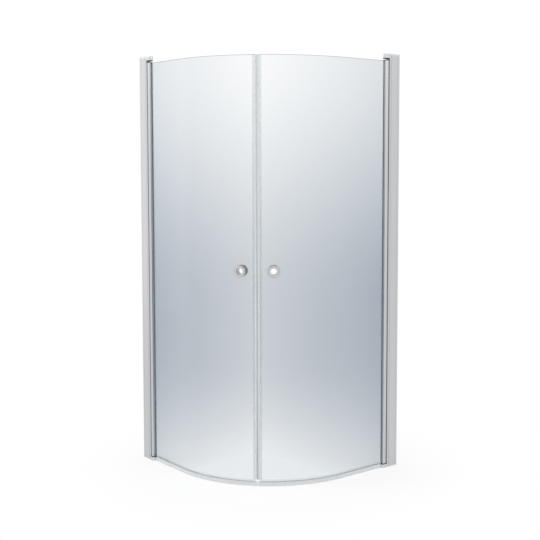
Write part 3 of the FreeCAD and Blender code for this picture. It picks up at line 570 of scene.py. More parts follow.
class Signal:
    """An output socket; Python's operators on it add Math nodes."""

    def __init__(self, graph, socket):
        self.graph = graph
        self.socket = socket

    def __add__(self, other):
        return self.graph.maths("ADD", self, other)

    __radd__ = __add__

    def __sub__(self, other):
        return self.graph.maths("SUBTRACT", self, other)

    def __rsub__(self, other):
        return self.graph.maths("SUBTRACT", other, self)

    def __mul__(self, other):
        return self.graph.maths("MULTIPLY", self, other)

    __rmul__ = __mul__

    def __truediv__(self, other):
        return self.graph.maths("DIVIDE", self, other)

    def __pow__(self, other):
        return self.graph.maths("POWER", self, other)

    def __abs__(self):
        return self.graph.maths("ABSOLUTE", self)


class Outputs:
    """The outputs of one node, by name."""

    def __init__(self, graph, node):
        self.graph = graph
        self.node = node

    def __getitem__(self, name):
        return Signal(self.graph, next(s for s in self.node.outputs if s.name == name and s.enabled))


class Graph:
    """A node tree that is written as calls."""

    def __init__(self, tree):
        self.tree = tree

    def add(self, kind, settings=None, values=None):
        """A node, with its settings made first and its sockets then filled or linked."""
        node = self.tree.nodes.new(kind)
        for name, setting in (settings or {}).items():
            setattr(node, name, setting)
        for key, value in (values or {}).items():
            if isinstance(key, int):
                socket = node.inputs[key]
            else:
                socket = next(s for s in node.inputs if s.name == key and s.enabled)
            if isinstance(value, Signal):
                self.tree.links.new(value.socket, socket)
            else:
                socket.default_value = value
        return Outputs(self, node)

    def maths(self, operation, *values):
        """A Math node."""
        return self.add("ShaderNodeMath", {"operation": operation}, dict(enumerate(values)))["Value"]

    def axes(self, vector):
        """The parts X, Y and Z of a vector."""
        return self.add("ShaderNodeSeparateXYZ", None, {"Vector": vector})

    def between(self, value, low, high):
        """A smooth step from 0 at one value to 1 at another."""
        values = {"Value": value, "From Min": low, "From Max": high}
        return self.add("ShaderNodeMapRange", {"interpolation_type": "SMOOTHSTEP"}, values)["Result"]

    def noise(self, place, scale=1.0, stretch=(1, 1, 1), detail=2.0):
        """Noise on object coordinates that are stretched along the axes."""
        mapped = self.add("ShaderNodeMapping", None, {"Vector": place, "Scale": stretch})["Vector"]
        values = {"Vector": mapped, "Scale": scale, "Detail": detail}
        return self.add("ShaderNodeTexNoise", {"normalize": True}, values)["Fac"]

    def mix_color(self, factor, first, second):
        """A blend of two colours."""
        values = {"Factor": factor, "A": first, "B": second}
        return self.add("ShaderNodeMix", {"data_type": "RGBA"}, values)["Result"]

    def varied(self, factor, shade, dark, light):
        """A colour that changes between two scales of itself."""
        return self.mix_color(factor, rgba(shade, dark), rgba(shade, light))

    def bumped(self, height, strength, distance):
        """A normal that follows a height."""
        values = {"Height": height, "Strength": strength, "Distance": distance}
        return self.add("ShaderNodeBump", None, values)["Normal"]

    def facing(self):
        """0 on a surface that is seen straight on, 1 on one that is seen from the side."""
        return self.add("ShaderNodeLayerWeight", None, {"Blend": 0.5})["Facing"]

    def surface(self, values):
        """A shader that covers what is behind it."""
        return self.add("ShaderNodeBsdfPrincipled", None, values)["BSDF"]

    def mix_shader(self, share, first, second):
        """A blend of two shaders; the share is the second one's."""
        return self.add("ShaderNodeMixShader", None, {0: share, 1: first, 2: second})["Shader"]


def new_material(name):
    """An empty material, the graph to fill and its object coordinates."""
    material = bpy.data.materials.new(name)
    material.use_nodes = True
    material.node_tree.nodes.clear()
    graph = Graph(material.node_tree)
    return material, graph, graph.add("ShaderNodeTexCoord")["Object"]


def finished(material, graph, shader):
    """Link a shader to the material's output."""
    graph.add("ShaderNodeOutputMaterial", None, {"Surface": shader})
    return material


def rgba(shade, scale=1.0):
    """A colour property as four numbers, darker or lighter by a scale."""
    return (*[min(1.0, part * scale) for part in shade], 1.0)


def off_seam(axes):
    """Distance of a place from the middle plane."""
    return abs(axes["X"] + axes["Y"]) * DIAGONAL


def anodised_metal(name, shade):
    """Satin extrusion with fine upright die lines and a slowly changing sheen.

    Painted shade darkens the fine grooves of the posts and the step where the wall channel goes into them.
    """
    sizes = bpy.context.scene.shower_profiles
    material, graph, place = new_material(name)
    axes = graph.axes(place)
    off_wall = graph.maths("MINIMUM", axes["X"] + half_side(), half_side() - axes["Y"])
    off_groove = abs(off_wall - sizes.groove_reach)
    off_step = abs(off_wall - sizes.channel_reveal)
    # groove and step are masks of painted shade: the post's fine groove and the channel step are drawn
    # darker, where shade falls
    groove = graph.between(off_groove, sizes.groove_width * 0.6, sizes.groove_width * 0.3)
    step = graph.between(off_step, sizes.post_wall, sizes.post_wall / 2)
    lines = graph.noise(place, stretch=(2600, 2600, 5))
    cloud = graph.noise(place, scale=6.0, stretch=(1, 1, 0.35), detail=3)
    tone = graph.varied(lines * 0.6 + cloud * 0.4, shade, dark=0.95, light=1.05)
    return finished(material, graph, graph.surface({
        # painted shade of the groove and the step, mixed into the base colour
        "Base Color": graph.mix_color(groove + step, tone, rgba(shade, scale=0.6)),
        "Metallic": 1.0,
        "Roughness": 0.30 + cloud * 0.08 + lines * 0.06,
        "Normal": graph.bumped(lines, strength=0.25, distance=0.00004),
    }))


def chrome_metal(name, shade, rim_painted_reflection):
    """Polished plating with faint wiping marks, with painted dark reflections where a ring rounds off to its
    flank and its bore.
    """
    grip = bpy.context.scene.shower_grips
    center = grip_matrix().translation
    bearing = grip.to_seam / middle_radius()
    material, graph, place = new_material(name)
    axes = graph.axes(place)
    outward = (axes["X"] - axes["Y"] - (center.x - center.y)) * DIAGONAL
    across = off_seam(axes) * math.cos(bearing) - outward * math.sin(bearing)
    off_axis = (across ** 2 + (axes["Z"] - grip.height) ** 2) ** 0.5
    starts, ends = 0.8 * grip.rounding, 0.3 * grip.rounding
    # flank and throat mask the painted dark reflections on the rings' rims, flanks and bores
    flank = graph.between(off_axis, grip.radius - starts, grip.radius - ends)
    throat_painted_reflection = graph.between(off_axis, grip.bore + starts, grip.bore + ends)
    smear = graph.noise(place, scale=40.0, stretch=(1, 1, 2.5), detail=4)
    grain = graph.noise(place, scale=1500.0)
    tone = graph.varied(smear, shade, dark=0.97, light=1.02)
    return finished(material, graph, graph.surface({
        "Base Color": graph.mix_color(flank + throat_painted_reflection, tone, rgba(rim_painted_reflection)),
        "Metallic": 1.0,
        "Roughness": 0.07 + smear * 0.08,
        "Normal": graph.bumped(grain, strength=0.05, distance=0.00002),
    }))


def turned_steel(name, shade):
    """Stainless fasteners and plated castings: a fine grain."""
    material, graph, place = new_material(name)
    grain = graph.noise(place, scale=2200.0, detail=3)
    return finished(material, graph, graph.surface({
        "Base Color": graph.varied(grain, shade, dark=0.9, light=1.08),
        "Metallic": 1.0,
        "Roughness": 0.24 + grain * 0.14,
        "Normal": graph.bumped(grain, strength=0.15, distance=0.00003),
    }))


def moulded(name, shade, roughness, grain_size, relief):
    """Moulded plastic or rubber: a fine grain in colour, sheen and relief."""
    material, graph, place = new_material(name)
    grain = graph.noise(place, scale=1 / grain_size, detail=3)
    cloud = graph.noise(place, scale=25.0, stretch=(1, 1, 0.6))
    return finished(material, graph, graph.surface({
        "Base Color": graph.varied(grain * 0.5 + cloud * 0.5, shade, dark=0.86, light=1.14),
        "Roughness": roughness - 0.05 + grain * 0.1,
        "Normal": graph.bumped(grain, strength=0.3, distance=relief),
    }))


def see_through(graph, body, share):
    """A body seen through itself by the rest of a share."""
    open_view = graph.add("ShaderNodeBsdfTransparent", None, {"Color": (0.97, 0.98, 0.985, 1.0)})["BSDF"]
    return graph.mix_shader(share, open_view, body)


def clear_soft_plastic(name, shade, nose_painted_shade, nose_reach, look):
    """See-through seal: clear from the front, milky along its walls, with a denser nose at the middle plane.

    The nose is denser, and its darker tone is painted shade of the gap where the two strips meet. Like the
    veil of painted room shade in the glass, its milkiness fades towards the top, as painted light of the
    brighter room behind.
    """
    material, graph, place = new_material(name)
    axes = graph.axes(place)
    drawn = graph.noise(place, stretch=(300, 300, 6), detail=3)
    nose = graph.between(off_seam(axes), nose_reach * 1.2, nose_reach * 0.8)
    # painted light: the seal's milkiness falls off towards the top, like the veil of painted room shade in
    # the glass
    painted_shade_kept = 1 - 0.4 * graph.between(axes["Z"], look.fade_from, look.fade_to)
    front_share = 0.12 + 0.02 * drawn
    wall_share = 0.30 * graph.facing() ** 2.5
    nose_share = 0.30 * nose
    share = (front_share + wall_share + nose_share) * painted_shade_kept
    tone = graph.varied(drawn, shade, dark=0.97, light=1.03)
    body = graph.surface({
        # painted shade: the nose is drawn in a darker tone for the gap where the strips meet
        "Base Color": graph.mix_color(nose, tone, rgba(nose_painted_shade)),
        "Roughness": 0.22 + drawn * 0.12,
    })
    return finished(material, graph, see_through(graph, body, share))


def milky_soft_plastic(name, shade, level):
    """Sweep that is clear above a level and milky below it, with faint lines along its run."""
    material, graph, place = new_material(name)
    drawn = graph.noise(place, stretch=(9, 9, 900), detail=3)
    cloud = graph.noise(place, scale=14.0)
    dense = graph.between(graph.axes(place)["Z"], low=level + 0.0005, high=level - 0.001)
    share = 0.03 + dense * (0.62 + 0.08 * cloud)
    body = graph.surface({
        "Base Color": graph.varied(drawn * 0.5 + cloud * 0.5, shade, dark=0.95, light=1.05),
        "Roughness": 0.3 + drawn * 0.12,
        "Normal": graph.bumped(drawn, strength=0.2, distance=0.00003),
    })
    return finished(material, graph, see_through(graph, body, share))


def glass_painted_room_shade(graph, place, axes, look):
    """Share of the veil of painted room shade on one face of a pane.

    The veil is painted shade of the room seen through the glass, put into the glass itself. It is strongest
    beside the hinges and below middle height, and fades towards the seam, the top and the floor. A view
    through a pane crosses two faces, so each face takes the square root.
    """
    way = graph.maths("MINIMUM", off_seam(axes) / look.hinge_way, look.way_most)
    above = graph.between(axes["Z"], look.fade_from, look.fade_to)
    lost_above = (look.fade - look.hinge_keep * way) * above
    under = graph.maths("MAXIMUM", look.low - axes["Z"], 0)
    lost_under = look.low_fade * (1 - look.low_keep * way) * under ** 2
    lost_below = graph.maths("MINIMUM", lost_under, look.low_most)
    cloud = graph.noise(place, scale=2.2, stretch=(1, 1, 0.8), detail=1)
    share = (look.seam_share + look.hinge_gain * way) * (0.98 + 0.04 * cloud)
    veil = share * (1 - lost_above) * (1 - lost_below)
    return 1 - (1 - veil) ** 0.5


def pane_glass(name, look):
    """Clear safety glass with a cool veil of painted room shade, a green ground edge and a clean gloss."""
    material, graph, place = new_material(name)
    axes = graph.axes(place)
    painted_shade_share = glass_painted_room_shade(graph, place, axes, look)
    rise = graph.axes(graph.add("ShaderNodeNewGeometry")["True Normal"])["Z"]
    edge_height = graph.between(axes["Z"], look.edge_from, look.edge_to)
    ground = graph.between(abs(rise), low=0.05, high=0.35)
    edge = ground * (look.edge_low + (1 - look.edge_low) * edge_height)
    grind = graph.noise(place, scale=900.0)
    # the veil surface carries the painted room shade; the ground edge is the glass's own green
    veil = graph.surface({
        "Base Color": graph.mix_color(edge, rgba(look.veil), rgba(look.edge)),
        "Roughness": 0.35 + edge * grind * 0.2,
    })
    clear = graph.add("ShaderNodeBsdfTransparent", None, {"Color": rgba(look.tint)})["BSDF"]
    through = graph.mix_shader(painted_shade_share + edge * (look.edge_share - painted_shade_share), clear, veil)
    gloss = graph.add("ShaderNodeBsdfGlossy", None, {"Color": rgba(look.gloss), "Roughness": 0.02})["BSDF"]
    shine = look.gloss_front + look.gloss_side * graph.facing() ** 5
    return finished(material, graph, graph.mix_shader(shine, through, gloss))


def looked_at(graph):
    """1 for what the camera, a reflection or a view through glass shows, 0 for what lights the object."""
    path = graph.add("ShaderNodeLightPath")
    seen = graph.maths("MAXIMUM", path["Is Camera Ray"], path["Is Glossy Ray"])
    return graph.maths("MAXIMUM", seen, path["Is Transmission Ray"])


def stage_floor(name, look):
    """Pale floor that keeps the object's shadow and fades into the white room far from it."""
    material, graph, place = new_material(name)
    reach = graph.add("ShaderNodeVectorMath", {"operation": "LENGTH"}, {0: place})["Value"]
    cloud = graph.noise(place, scale=3.0, detail=3)
    ground = graph.surface({
        "Base Color": graph.varied(cloud, look.floor, dark=0.995, light=1.005),
        "Roughness": 0.6 + cloud * 0.1,
        "Specular IOR Level": 0.1,
    })
    white = graph.add("ShaderNodeEmission", None, {"Color": (1, 1, 1, 1)})["Emission"]
    fade = graph.between(reach, look.white_from, look.white_to)
    white_share = look.white_share + (1 - look.white_share) * fade
    return finished(material, graph, graph.mix_shader(white_share * looked_at(graph), ground, white))


# ---------------------------------------------------------------- geometry nodes

SOCKETS = {
    "Object": "NodeSocketObject",
    "Float": "NodeSocketFloat",
    "Int": "NodeSocketInt",
    "Vector": "NodeSocketVector",
    "Material": "NodeSocketMaterial",
}


def new_shape_tree(name, inputs):
    """A geometry tree with named inputs, its graph and its input signals."""
    tree = bpy.data.node_groups.new(name, "GeometryNodeTree")
    for label, kind in inputs.items():
        tree.interface.new_socket(label, in_out="INPUT", socket_type=SOCKETS[kind])
    tree.interface.new_socket("Shape", in_out="OUTPUT", socket_type="NodeSocketGeometry")
    graph = Graph(tree)
    return tree, graph, graph.add("NodeGroupInput")


def end_shape_tree(graph, shape, material):
    """Make a tree's instances real, give them a material and send them out."""
    real = graph.add("GeometryNodeRealizeInstances", None, {"Geometry": shape})["Geometry"]
    painted = graph.add("GeometryNodeSetMaterial", None, {"Geometry": real, "Material": material})["Geometry"]
    graph.add("NodeGroupOutput", None, {"Shape": painted})


def run_tree(tree, values):
    """The plain mesh that a tree makes from values for its named inputs."""
    holder = as_object(bpy.data.meshes.new("shape"))
    modifier = holder.modifiers.new("shape", "NODES")
    modifier.node_group = tree
    for socket in tree.interface.items_tree:
        if socket.in_out == "INPUT":
            modifier[socket.identifier] = values[socket.name]
    return plain_mesh(holder)


def door_line_tree():
    """Tree that draws a section along the door's line: straight off the hinge, then round the bend."""
    tree, graph, inputs = new_shape_tree("door_line", {
        "Section": "Object", "Cutter": "Object", "Centre": "Vector", "Lead": "Float", "Radius": "Float",
        "Bend": "Float", "Steps": "Int", "Material": "Material"})
    index = graph.add("GeometryNodeInputIndex")["Index"]
    steps = inputs["Steps"]
    turn = graph.maths("MAXIMUM", index - 1, 0) / steps * inputs["Bend"]
    lead = graph.maths("MAXIMUM", 1 - index, 0) * inputs["Lead"]
    centre = graph.axes(inputs["Centre"])
    place = graph.add("ShaderNodeCombineXYZ", None, {
        "X": centre["X"] + graph.maths("SINE", turn) * inputs["Radius"] - lead,
        "Y": centre["Y"] - graph.maths("COSINE", turn) * inputs["Radius"],
    })["Vector"]
    line = graph.add("GeometryNodeCurvePrimitiveLine")["Curve"]
    points = graph.add("GeometryNodeResampleCurve", None, {"Curve": line, "Count": steps + 2})["Curve"]
    bent = graph.add("GeometryNodeSetPosition", None, {"Geometry": points, "Position": place})["Geometry"]
    level = graph.add("GeometryNodeSetCurveNormal", {"mode": "Z_UP"}, {"Curve": bent})["Curve"]
    section = graph.add("GeometryNodeObjectInfo", None, {"Object": inputs["Section"]})["Geometry"]
    run = graph.add("GeometryNodeCurveToMesh", None, {
        "Curve": level, "Profile Curve": section, "Fill Caps": True})["Mesh"]
    cutter = graph.add("GeometryNodeObjectInfo", None, {"Object": inputs["Cutter"]})["Geometry"]
    cut = graph.add("GeometryNodeMeshBoolean", {"operation": "DIFFERENCE", "solver": "EXACT"},
                    {0: run, 1: cutter})["Mesh"]
    end_shape_tree(graph, cut, inputs["Material"])
    return tree


def row_tree():
    """Tree that sets copies of a part in a straight row."""
    tree, graph, inputs = new_shape_tree("row", {
        "Part": "Object", "Start": "Vector", "Pitch": "Vector", "Turn": "Vector", "Count": "Int",
        "Material": "Material"})
    places = graph.add("GeometryNodeMeshLine", {"mode": "OFFSET"}, {
        "Count": inputs["Count"], "Start Location": inputs["Start"], "Offset": inputs["Pitch"]})["Mesh"]
    part = graph.add("GeometryNodeObjectInfo", None, {"Object": inputs["Part"]})["Geometry"]
    copies = graph.add("GeometryNodeInstanceOnPoints", None, {
        "Points": places, "Instance": part, "Rotation": inputs["Turn"]})["Instances"]
    end_shape_tree(graph, copies, inputs["Material"])
    return tree


def section_curve(outline):
    """A closed curve of a section across the door's line, for the tree that draws it along."""
    layout, panes = groups("layout", "panes")
    middle = layout.face_setback + panes.thickness / 2
    curve = bpy.data.curves.new("section", "CURVE")
    curve.dimensions = "3D"
    spline = curve.splines.new("POLY")
    spline.points.add(len(outline) - 1)
    for point, (v, z) in zip(spline.points, outline):
        point.co = (middle - v, -z, 0, 1)
    spline.use_cyclic_u = True
    return as_object(curve)


def along_door(outline, start, bend, cutter, material):
    """A plain mesh of a section drawn along the door's line, from a distance off the wall round the bend."""
    section = section_curve(outline)
    tool = as_object(as_mesh(cutter))
    center = turn_center()
    mesh = run_tree(door_line_tree(), {
        "Section": section,
        "Cutter": tool,
        "Centre": (center.x - half_side(), center.y - half_side(), 0.0),
        "Lead": center.x - start,
        "Radius": middle_radius(),
        "Bend": bend,
        "Steps": bpy.context.scene.shower_panes.bend_steps,
        "Material": material,
    })
    bpy.data.objects.remove(section)
    bpy.data.objects.remove(tool)
    return mesh


def row_of(part, start, pitch, turn, count, material):
    """A plain mesh of a part repeated in a row, in the left corner's frame."""
    tool = as_object(part)
    mesh = run_tree(row_tree(), {
        "Part": tool,
        "Start": (start[0] - half_side(), start[1] - half_side(), start[2]),
        "Pitch": pitch,
        "Turn": turn,
        "Count": count,
        "Material": material,
    })
    bpy.data.objects.remove(tool)
    return mesh


# ---------------------------------------------------------------- operators

class SHOWER_OT_wall_profiles(Operator):
    """Give the wall channels their finish and build the posts and the lip strips"""

    bl_idname = "shower.wall_profiles"
    bl_label = "Wall profiles"

    def execute(self, context):
        profiles, look = groups("profiles", "finishes")
        silver = anodised_metal("satin_silver", look.silver)
        for side in ("left", "right"):
            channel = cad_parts[f"{side}_wall_channel"]
            channel.data.materials.clear()
            channel.data.materials.append(silver)
        bottom, top = heights("left_post")
        post = as_mesh(prism(self.post(), bottom, top))
        add_pair("post_profile", post, "post", "frame", silver)
        grey = moulded("grey_lip_rubber", look.grey_rubber, roughness=0.7, grain_size=0.0004, relief=0.00003)
        strip = as_mesh(prism(self.strip(0, profiles.tube_radius + profiles.strip_gap), bottom, top))
        add_pair("lip_strip", strip, "hinge_seal", "frame", grey)
        return {"FINISHED"}

    def post(self):
        """Legs over the channel, hollow seat of the tube and the slot of the lip strip."""
        layout, sizes = groups("layout", "profiles")
        axis = hinge_axis()
        wide = layout.profile_width
        seat = sizes.tube_radius + sizes.seat_gap
        opening = math.degrees(math.acos((axis.x - sizes.post_front) / seat))
        neck = math.degrees(math.asin((sizes.strip_neck / 2 + PLAY) / seat))
        groove = self.groove(sizes)
        front = rounded([
            (sizes.channel_reveal, 0), *groove, (sizes.post_front, 0, sizes.post_rounding),
            (sizes.post_front, wide / 4)])[:-1]
        back = rounded([
            (sizes.post_front, wide * 3 / 4), (sizes.post_front, wide, sizes.post_rounding),
            *[(reach, wide - depth) for reach, depth in groove[::-1]], (sizes.channel_reveal, wide)])[1:]
        lower = arc(axis, seat, 180 + opening, 180 + neck, steps=12)
        upper = arc(axis, seat, 180 - neck, 180 - opening, steps=12)
        room = [(sizes.channel_reveal, wide - sizes.post_wall), (sizes.web_back, wide - sizes.post_wall),
                (sizes.web_back, sizes.post_wall), (sizes.channel_reveal, sizes.post_wall)]
        slot = self.strip(PLAY, seat)
        return front + lower + slot[3::-1] + slot[:3:-1] + upper + back + room

    def groove(self, sizes):
        """Sloped sides and flat ground of the fine groove, as places (reach, depth)."""
        half = sizes.groove_width / 2
        return [(sizes.groove_reach - half, 0), (sizes.groove_reach - half / 2, sizes.groove_depth),
                (sizes.groove_reach + half / 2, sizes.groove_depth), (sizes.groove_reach + half, 0)]

    def strip(self, gap, tip_radius):
        """T-shaped outline of the lip strip, grown by a gap, up to a radius from the hinge axis."""
        sizes = bpy.context.scene.shower_profiles
        axis = hinge_axis()
        foot = sizes.strip_foot / 2 + gap
        neck = sizes.strip_neck / 2 + gap
        step = sizes.strip_step + gap
        half = [(sizes.strip_back - gap, foot), (step, foot), (step, neck), (axis.x - tip_radius, neck)]
        return [(u, axis.y - v) for u, v in half] + [(u, axis.y + v) for u, v in half[::-1]]


class SHOWER_OT_hinge_tubes(Operator):
    """Build the hinge tubes and the rubber round the hinge edge of the glass"""

    bl_idname = "shower.hinge_tubes"
    bl_label = "Hinge tubes"

    def execute(self, context):
        layout, profiles, panes, look = groups("layout", "profiles", "panes", "finishes")
        bottom, top = heights("left_hinge_tube")
        outer_jaw = hinge_axis().y - profiles.tube_radius + profiles.jaw_slope + profiles.jaw_wall
        inner_jaw = layout.face_setback + panes.thickness + panes.rubber + PLAY
        tube = as_mesh(prism(self.tube(outer_jaw, inner_jaw), bottom, top))
        add_pair("tube_profile", tube, "hinge_tube", "door", bpy.data.materials["satin_silver"])
        black = moulded("black_glass_rubber", look.black_rubber, roughness=0.6, grain_size=0.0005,
                        relief=0.00003)
        rubber = as_mesh(prism(self.rubber(outer_jaw + PLAY, inner_jaw - PLAY), bottom, top))
        add_pair("glass_rubber", rubber, "glass_gasket", "door", black)
        return {"FINISHED"}

    def tube(self, outer_jaw, inner_jaw):
        """The tube's outline with the glass slot let in at its mouth."""
        sizes = bpy.context.scene.shower_profiles
        axis = hinge_axis()
        mouth = axis.x + sizes.jaw_reach
        outline = tube_outline()
        face = next(index for index in range(len(outline)) if outline[index + 1].y > axis.y)
        slot = [(mouth, outer_jaw), (sizes.slot_back, outer_jaw), (sizes.slot_back, inner_jaw),
                (mouth, inner_jaw)]
        return outline[:face + 1] + slot + outline[face + 1:]

    def rubber(self, near, far):
        """Outline of the rubber that fills the slot round the edge of the glass."""
        layout, profiles, panes = groups("layout", "profiles", "panes")
        outer = layout.face_setback - PLAY
        inner = layout.face_setback + panes.thickness + PLAY
        back = profiles.slot_back + PLAY
        edge = panes.start - PLAY
        end = layout.hinge_reach + profiles.jaw_reach + panes.lip
        return rounded([
            (back, near), (end, near, panes.rubber_rounding), (end, outer), (edge, outer),
            (edge, inner), (end, inner), (end, far, panes.rubber_rounding), (back, far)])


class SHOWER_OT_brackets(Operator):
    """Build the brackets at both ends of each post, with their screw sinks"""

    bl_idname = "shower.brackets"
    bl_label = "Brackets"

    def execute(self, context):
        plated = turned_steel("plated_casting", context.scene.shower_finishes.bracket)
        bottom, top = heights("left_post")
        for name, node, post_end, upper in (
                ("cap_bracket", "top_bracket", top, True), ("foot_bracket", "bottom_bracket", bottom, False)):
            low, high = heights(f"left_{node}")
            outer_face, inner_face = (high, low) if upper else (low, high)
            solid = self.casting(post_end, outer_face, inner_face)
            self.soften_rims(solid, outer_face, upper)
            mesh = drilled(solid, self.holes(outer_face, (low + high) / 2, upper))
            add_pair(name, mesh, node, "frame", plated)
        return {"FINISHED"}

    def casting(self, post_end, outer_face, inner_face):
        """Plate over the end of the post, with the block or arm that holds a hinge pin."""
        layout, sizes = groups("layout", "brackets")
        nose = nose_outline(inset=0, steps=28)
        edge = nose[0].x - half_side()
        outline = [Vector((sizes.wall_gap, 0)), *nose, Vector((sizes.wall_gap, layout.profile_width))]
        solid = prism(outline, min(post_end, outer_face), max(post_end, outer_face))

        def on_post(vert):
            return abs(vert.co.z - post_end) < WELD

        corners = [vert for vert in solid.verts if abs(vert.co.x - edge) < WELD and on_post(vert)]
        bmesh.ops.connect_verts(solid, verts=corners)
        block = [face for face in solid.faces
                 if all(vert.co.x > edge - WELD and on_post(vert) for vert in face.verts)]
        raised = bmesh.ops.extrude_face_region(solid, geom=block)["geom"]
        bmesh.ops.delete(solid, geom=block, context="FACES_ONLY")
        verts = [part for part in raised if isinstance(part, bmesh.types.BMVert)]
        bmesh.ops.translate(solid, verts=verts, vec=(0, 0, inner_face - post_end))
        return tidy(solid)

    def soften_rims(self, solid, outer_face, upper):
        """Round the rim over the arm and soften the other edges."""
        sizes = bpy.context.scene.shower_brackets

        def on_rim(edge):
            return upper and all(abs(vert.co.z - outer_face) < WELD for vert in edge.verts)

        soften(solid, sizes.arm_rounding, on_rim, segments=4)
        soften(solid, sizes.edge_rounding, lambda edge: edge.calc_face_angle() > sizes.edge_angle)

    def holes(self, outer_face, grub_level, upper):
        """Cutters for the sunk screws at the post and for the grub screw at the pin."""
        layout, sizes, screws = groups("layout", "brackets", "screws")
        half = half_side()
        wide = layout.profile_width
        bore = screws.port_radius + PLAY
        mouth = screws.port_head + OVERRUN + PLAY
        taper = screws.port_head - screws.port_radius
        over = Matrix.Rotation(math.pi if upper else 0, 4, "X")
        cutters = []
        for inset in (sizes.port_inset, wide - sizes.port_inset):
            sink = lathe([(0, -OVERRUN), (mouth, -OVERRUN), (bore, taper), (bore, THROUGH), (0, THROUGH)],
                         steps=32)
            place = Matrix.Translation((sizes.port_reach - half, inset - half, outer_face))
            cutters.append(moved(sink, place @ over))
        grub = barrel(0, screws.grub_radius + PLAY, -OVERRUN, wide / 2 - sizes.pin_radius, steps=32)
        place = Matrix.Translation((layout.hinge_reach - half, -half, grub_level))
        cutters.append(moved(grub, place @ Matrix.Rotation(-math.pi / 2, 4, "X")))
        return cutters


class SHOWER_OT_bearings(Operator):
    """Build the bushes, the plugs of the tubes, the hinge pins and the washers under the doors"""

    bl_idname = "shower.bearings"
    bl_label = "Bearings"

    def execute(self, context):
        sizes, look = groups("brackets", "finishes")
        black = moulded("black_plastic_moulding", look.black, roughness=0.42, grain_size=0.0006,
                        relief=0.00003)
        pale = moulded("pale_plastic_moulding", look.pale_plastic, roughness=0.4, grain_size=0.0006,
                       relief=0.00002)
        steel = turned_steel("stainless_steel", look.steel)

        bush = prism(nose_outline(sizes.bush_inset, steps=24), *heights("left_top_bush"))
        add_pair("arm_bush", as_mesh(soften(bush, SOFT_EDGE)), "top_bush", "frame", black)
        for name, node, upper in (("upper_plug", "top_plug", True), ("lower_plug", "bottom_plug", False)):
            plug = self.plug(*heights(f"left_{node}"), upper)
            add_pair(name, plug, node, "door", black)
        for name, node in (("upper_pin", "top_pin"), ("lower_pin", "bottom_pin")):
            pin = self.pin(*heights(f"left_{node}"))
            add_pair(name, pin, node, "frame", steel)
        washer = barrel(sizes.pin_radius + PLAY, sizes.washer_radius, *heights("left_lower_washer"))
        add_pair("thrust_washer", self.on_axis(washer), "lower_washer", "frame", pale)
        return {"FINISHED"}

    def on_axis(self, solid):
        """A mesh of a turned solid, on the hinge axis."""
        axis = hinge_axis()
        return as_mesh(moved(solid, Matrix.Translation((axis.x - half_side(), axis.y - half_side(), 0))))

    def plug(self, low, high, upper):
        """Flange over the end of the tube, with the spigot in it that turns on the pin."""
        sizes = bpy.context.scene.shower_brackets
        level = high - sizes.flange if upper else low
        flange = soften(prism(tube_outline(), level, level + sizes.flange), SOFT_EDGE)
        bottom, top = (low, level) if upper else (level + sizes.flange, high)
        return joined(as_mesh(flange), self.on_axis(barrel(0, sizes.plug_radius, bottom, top)))

    def pin(self, low, high):
        """Hinge pin with bevelled ends."""
        radius = bpy.context.scene.shower_brackets.pin_radius
        bevel = radius / 4
        return self.on_axis(lathe([
            (0, low), (radius - bevel, low), (radius, low + bevel),
            (radius, high - bevel), (radius - bevel, high), (0, high)]))


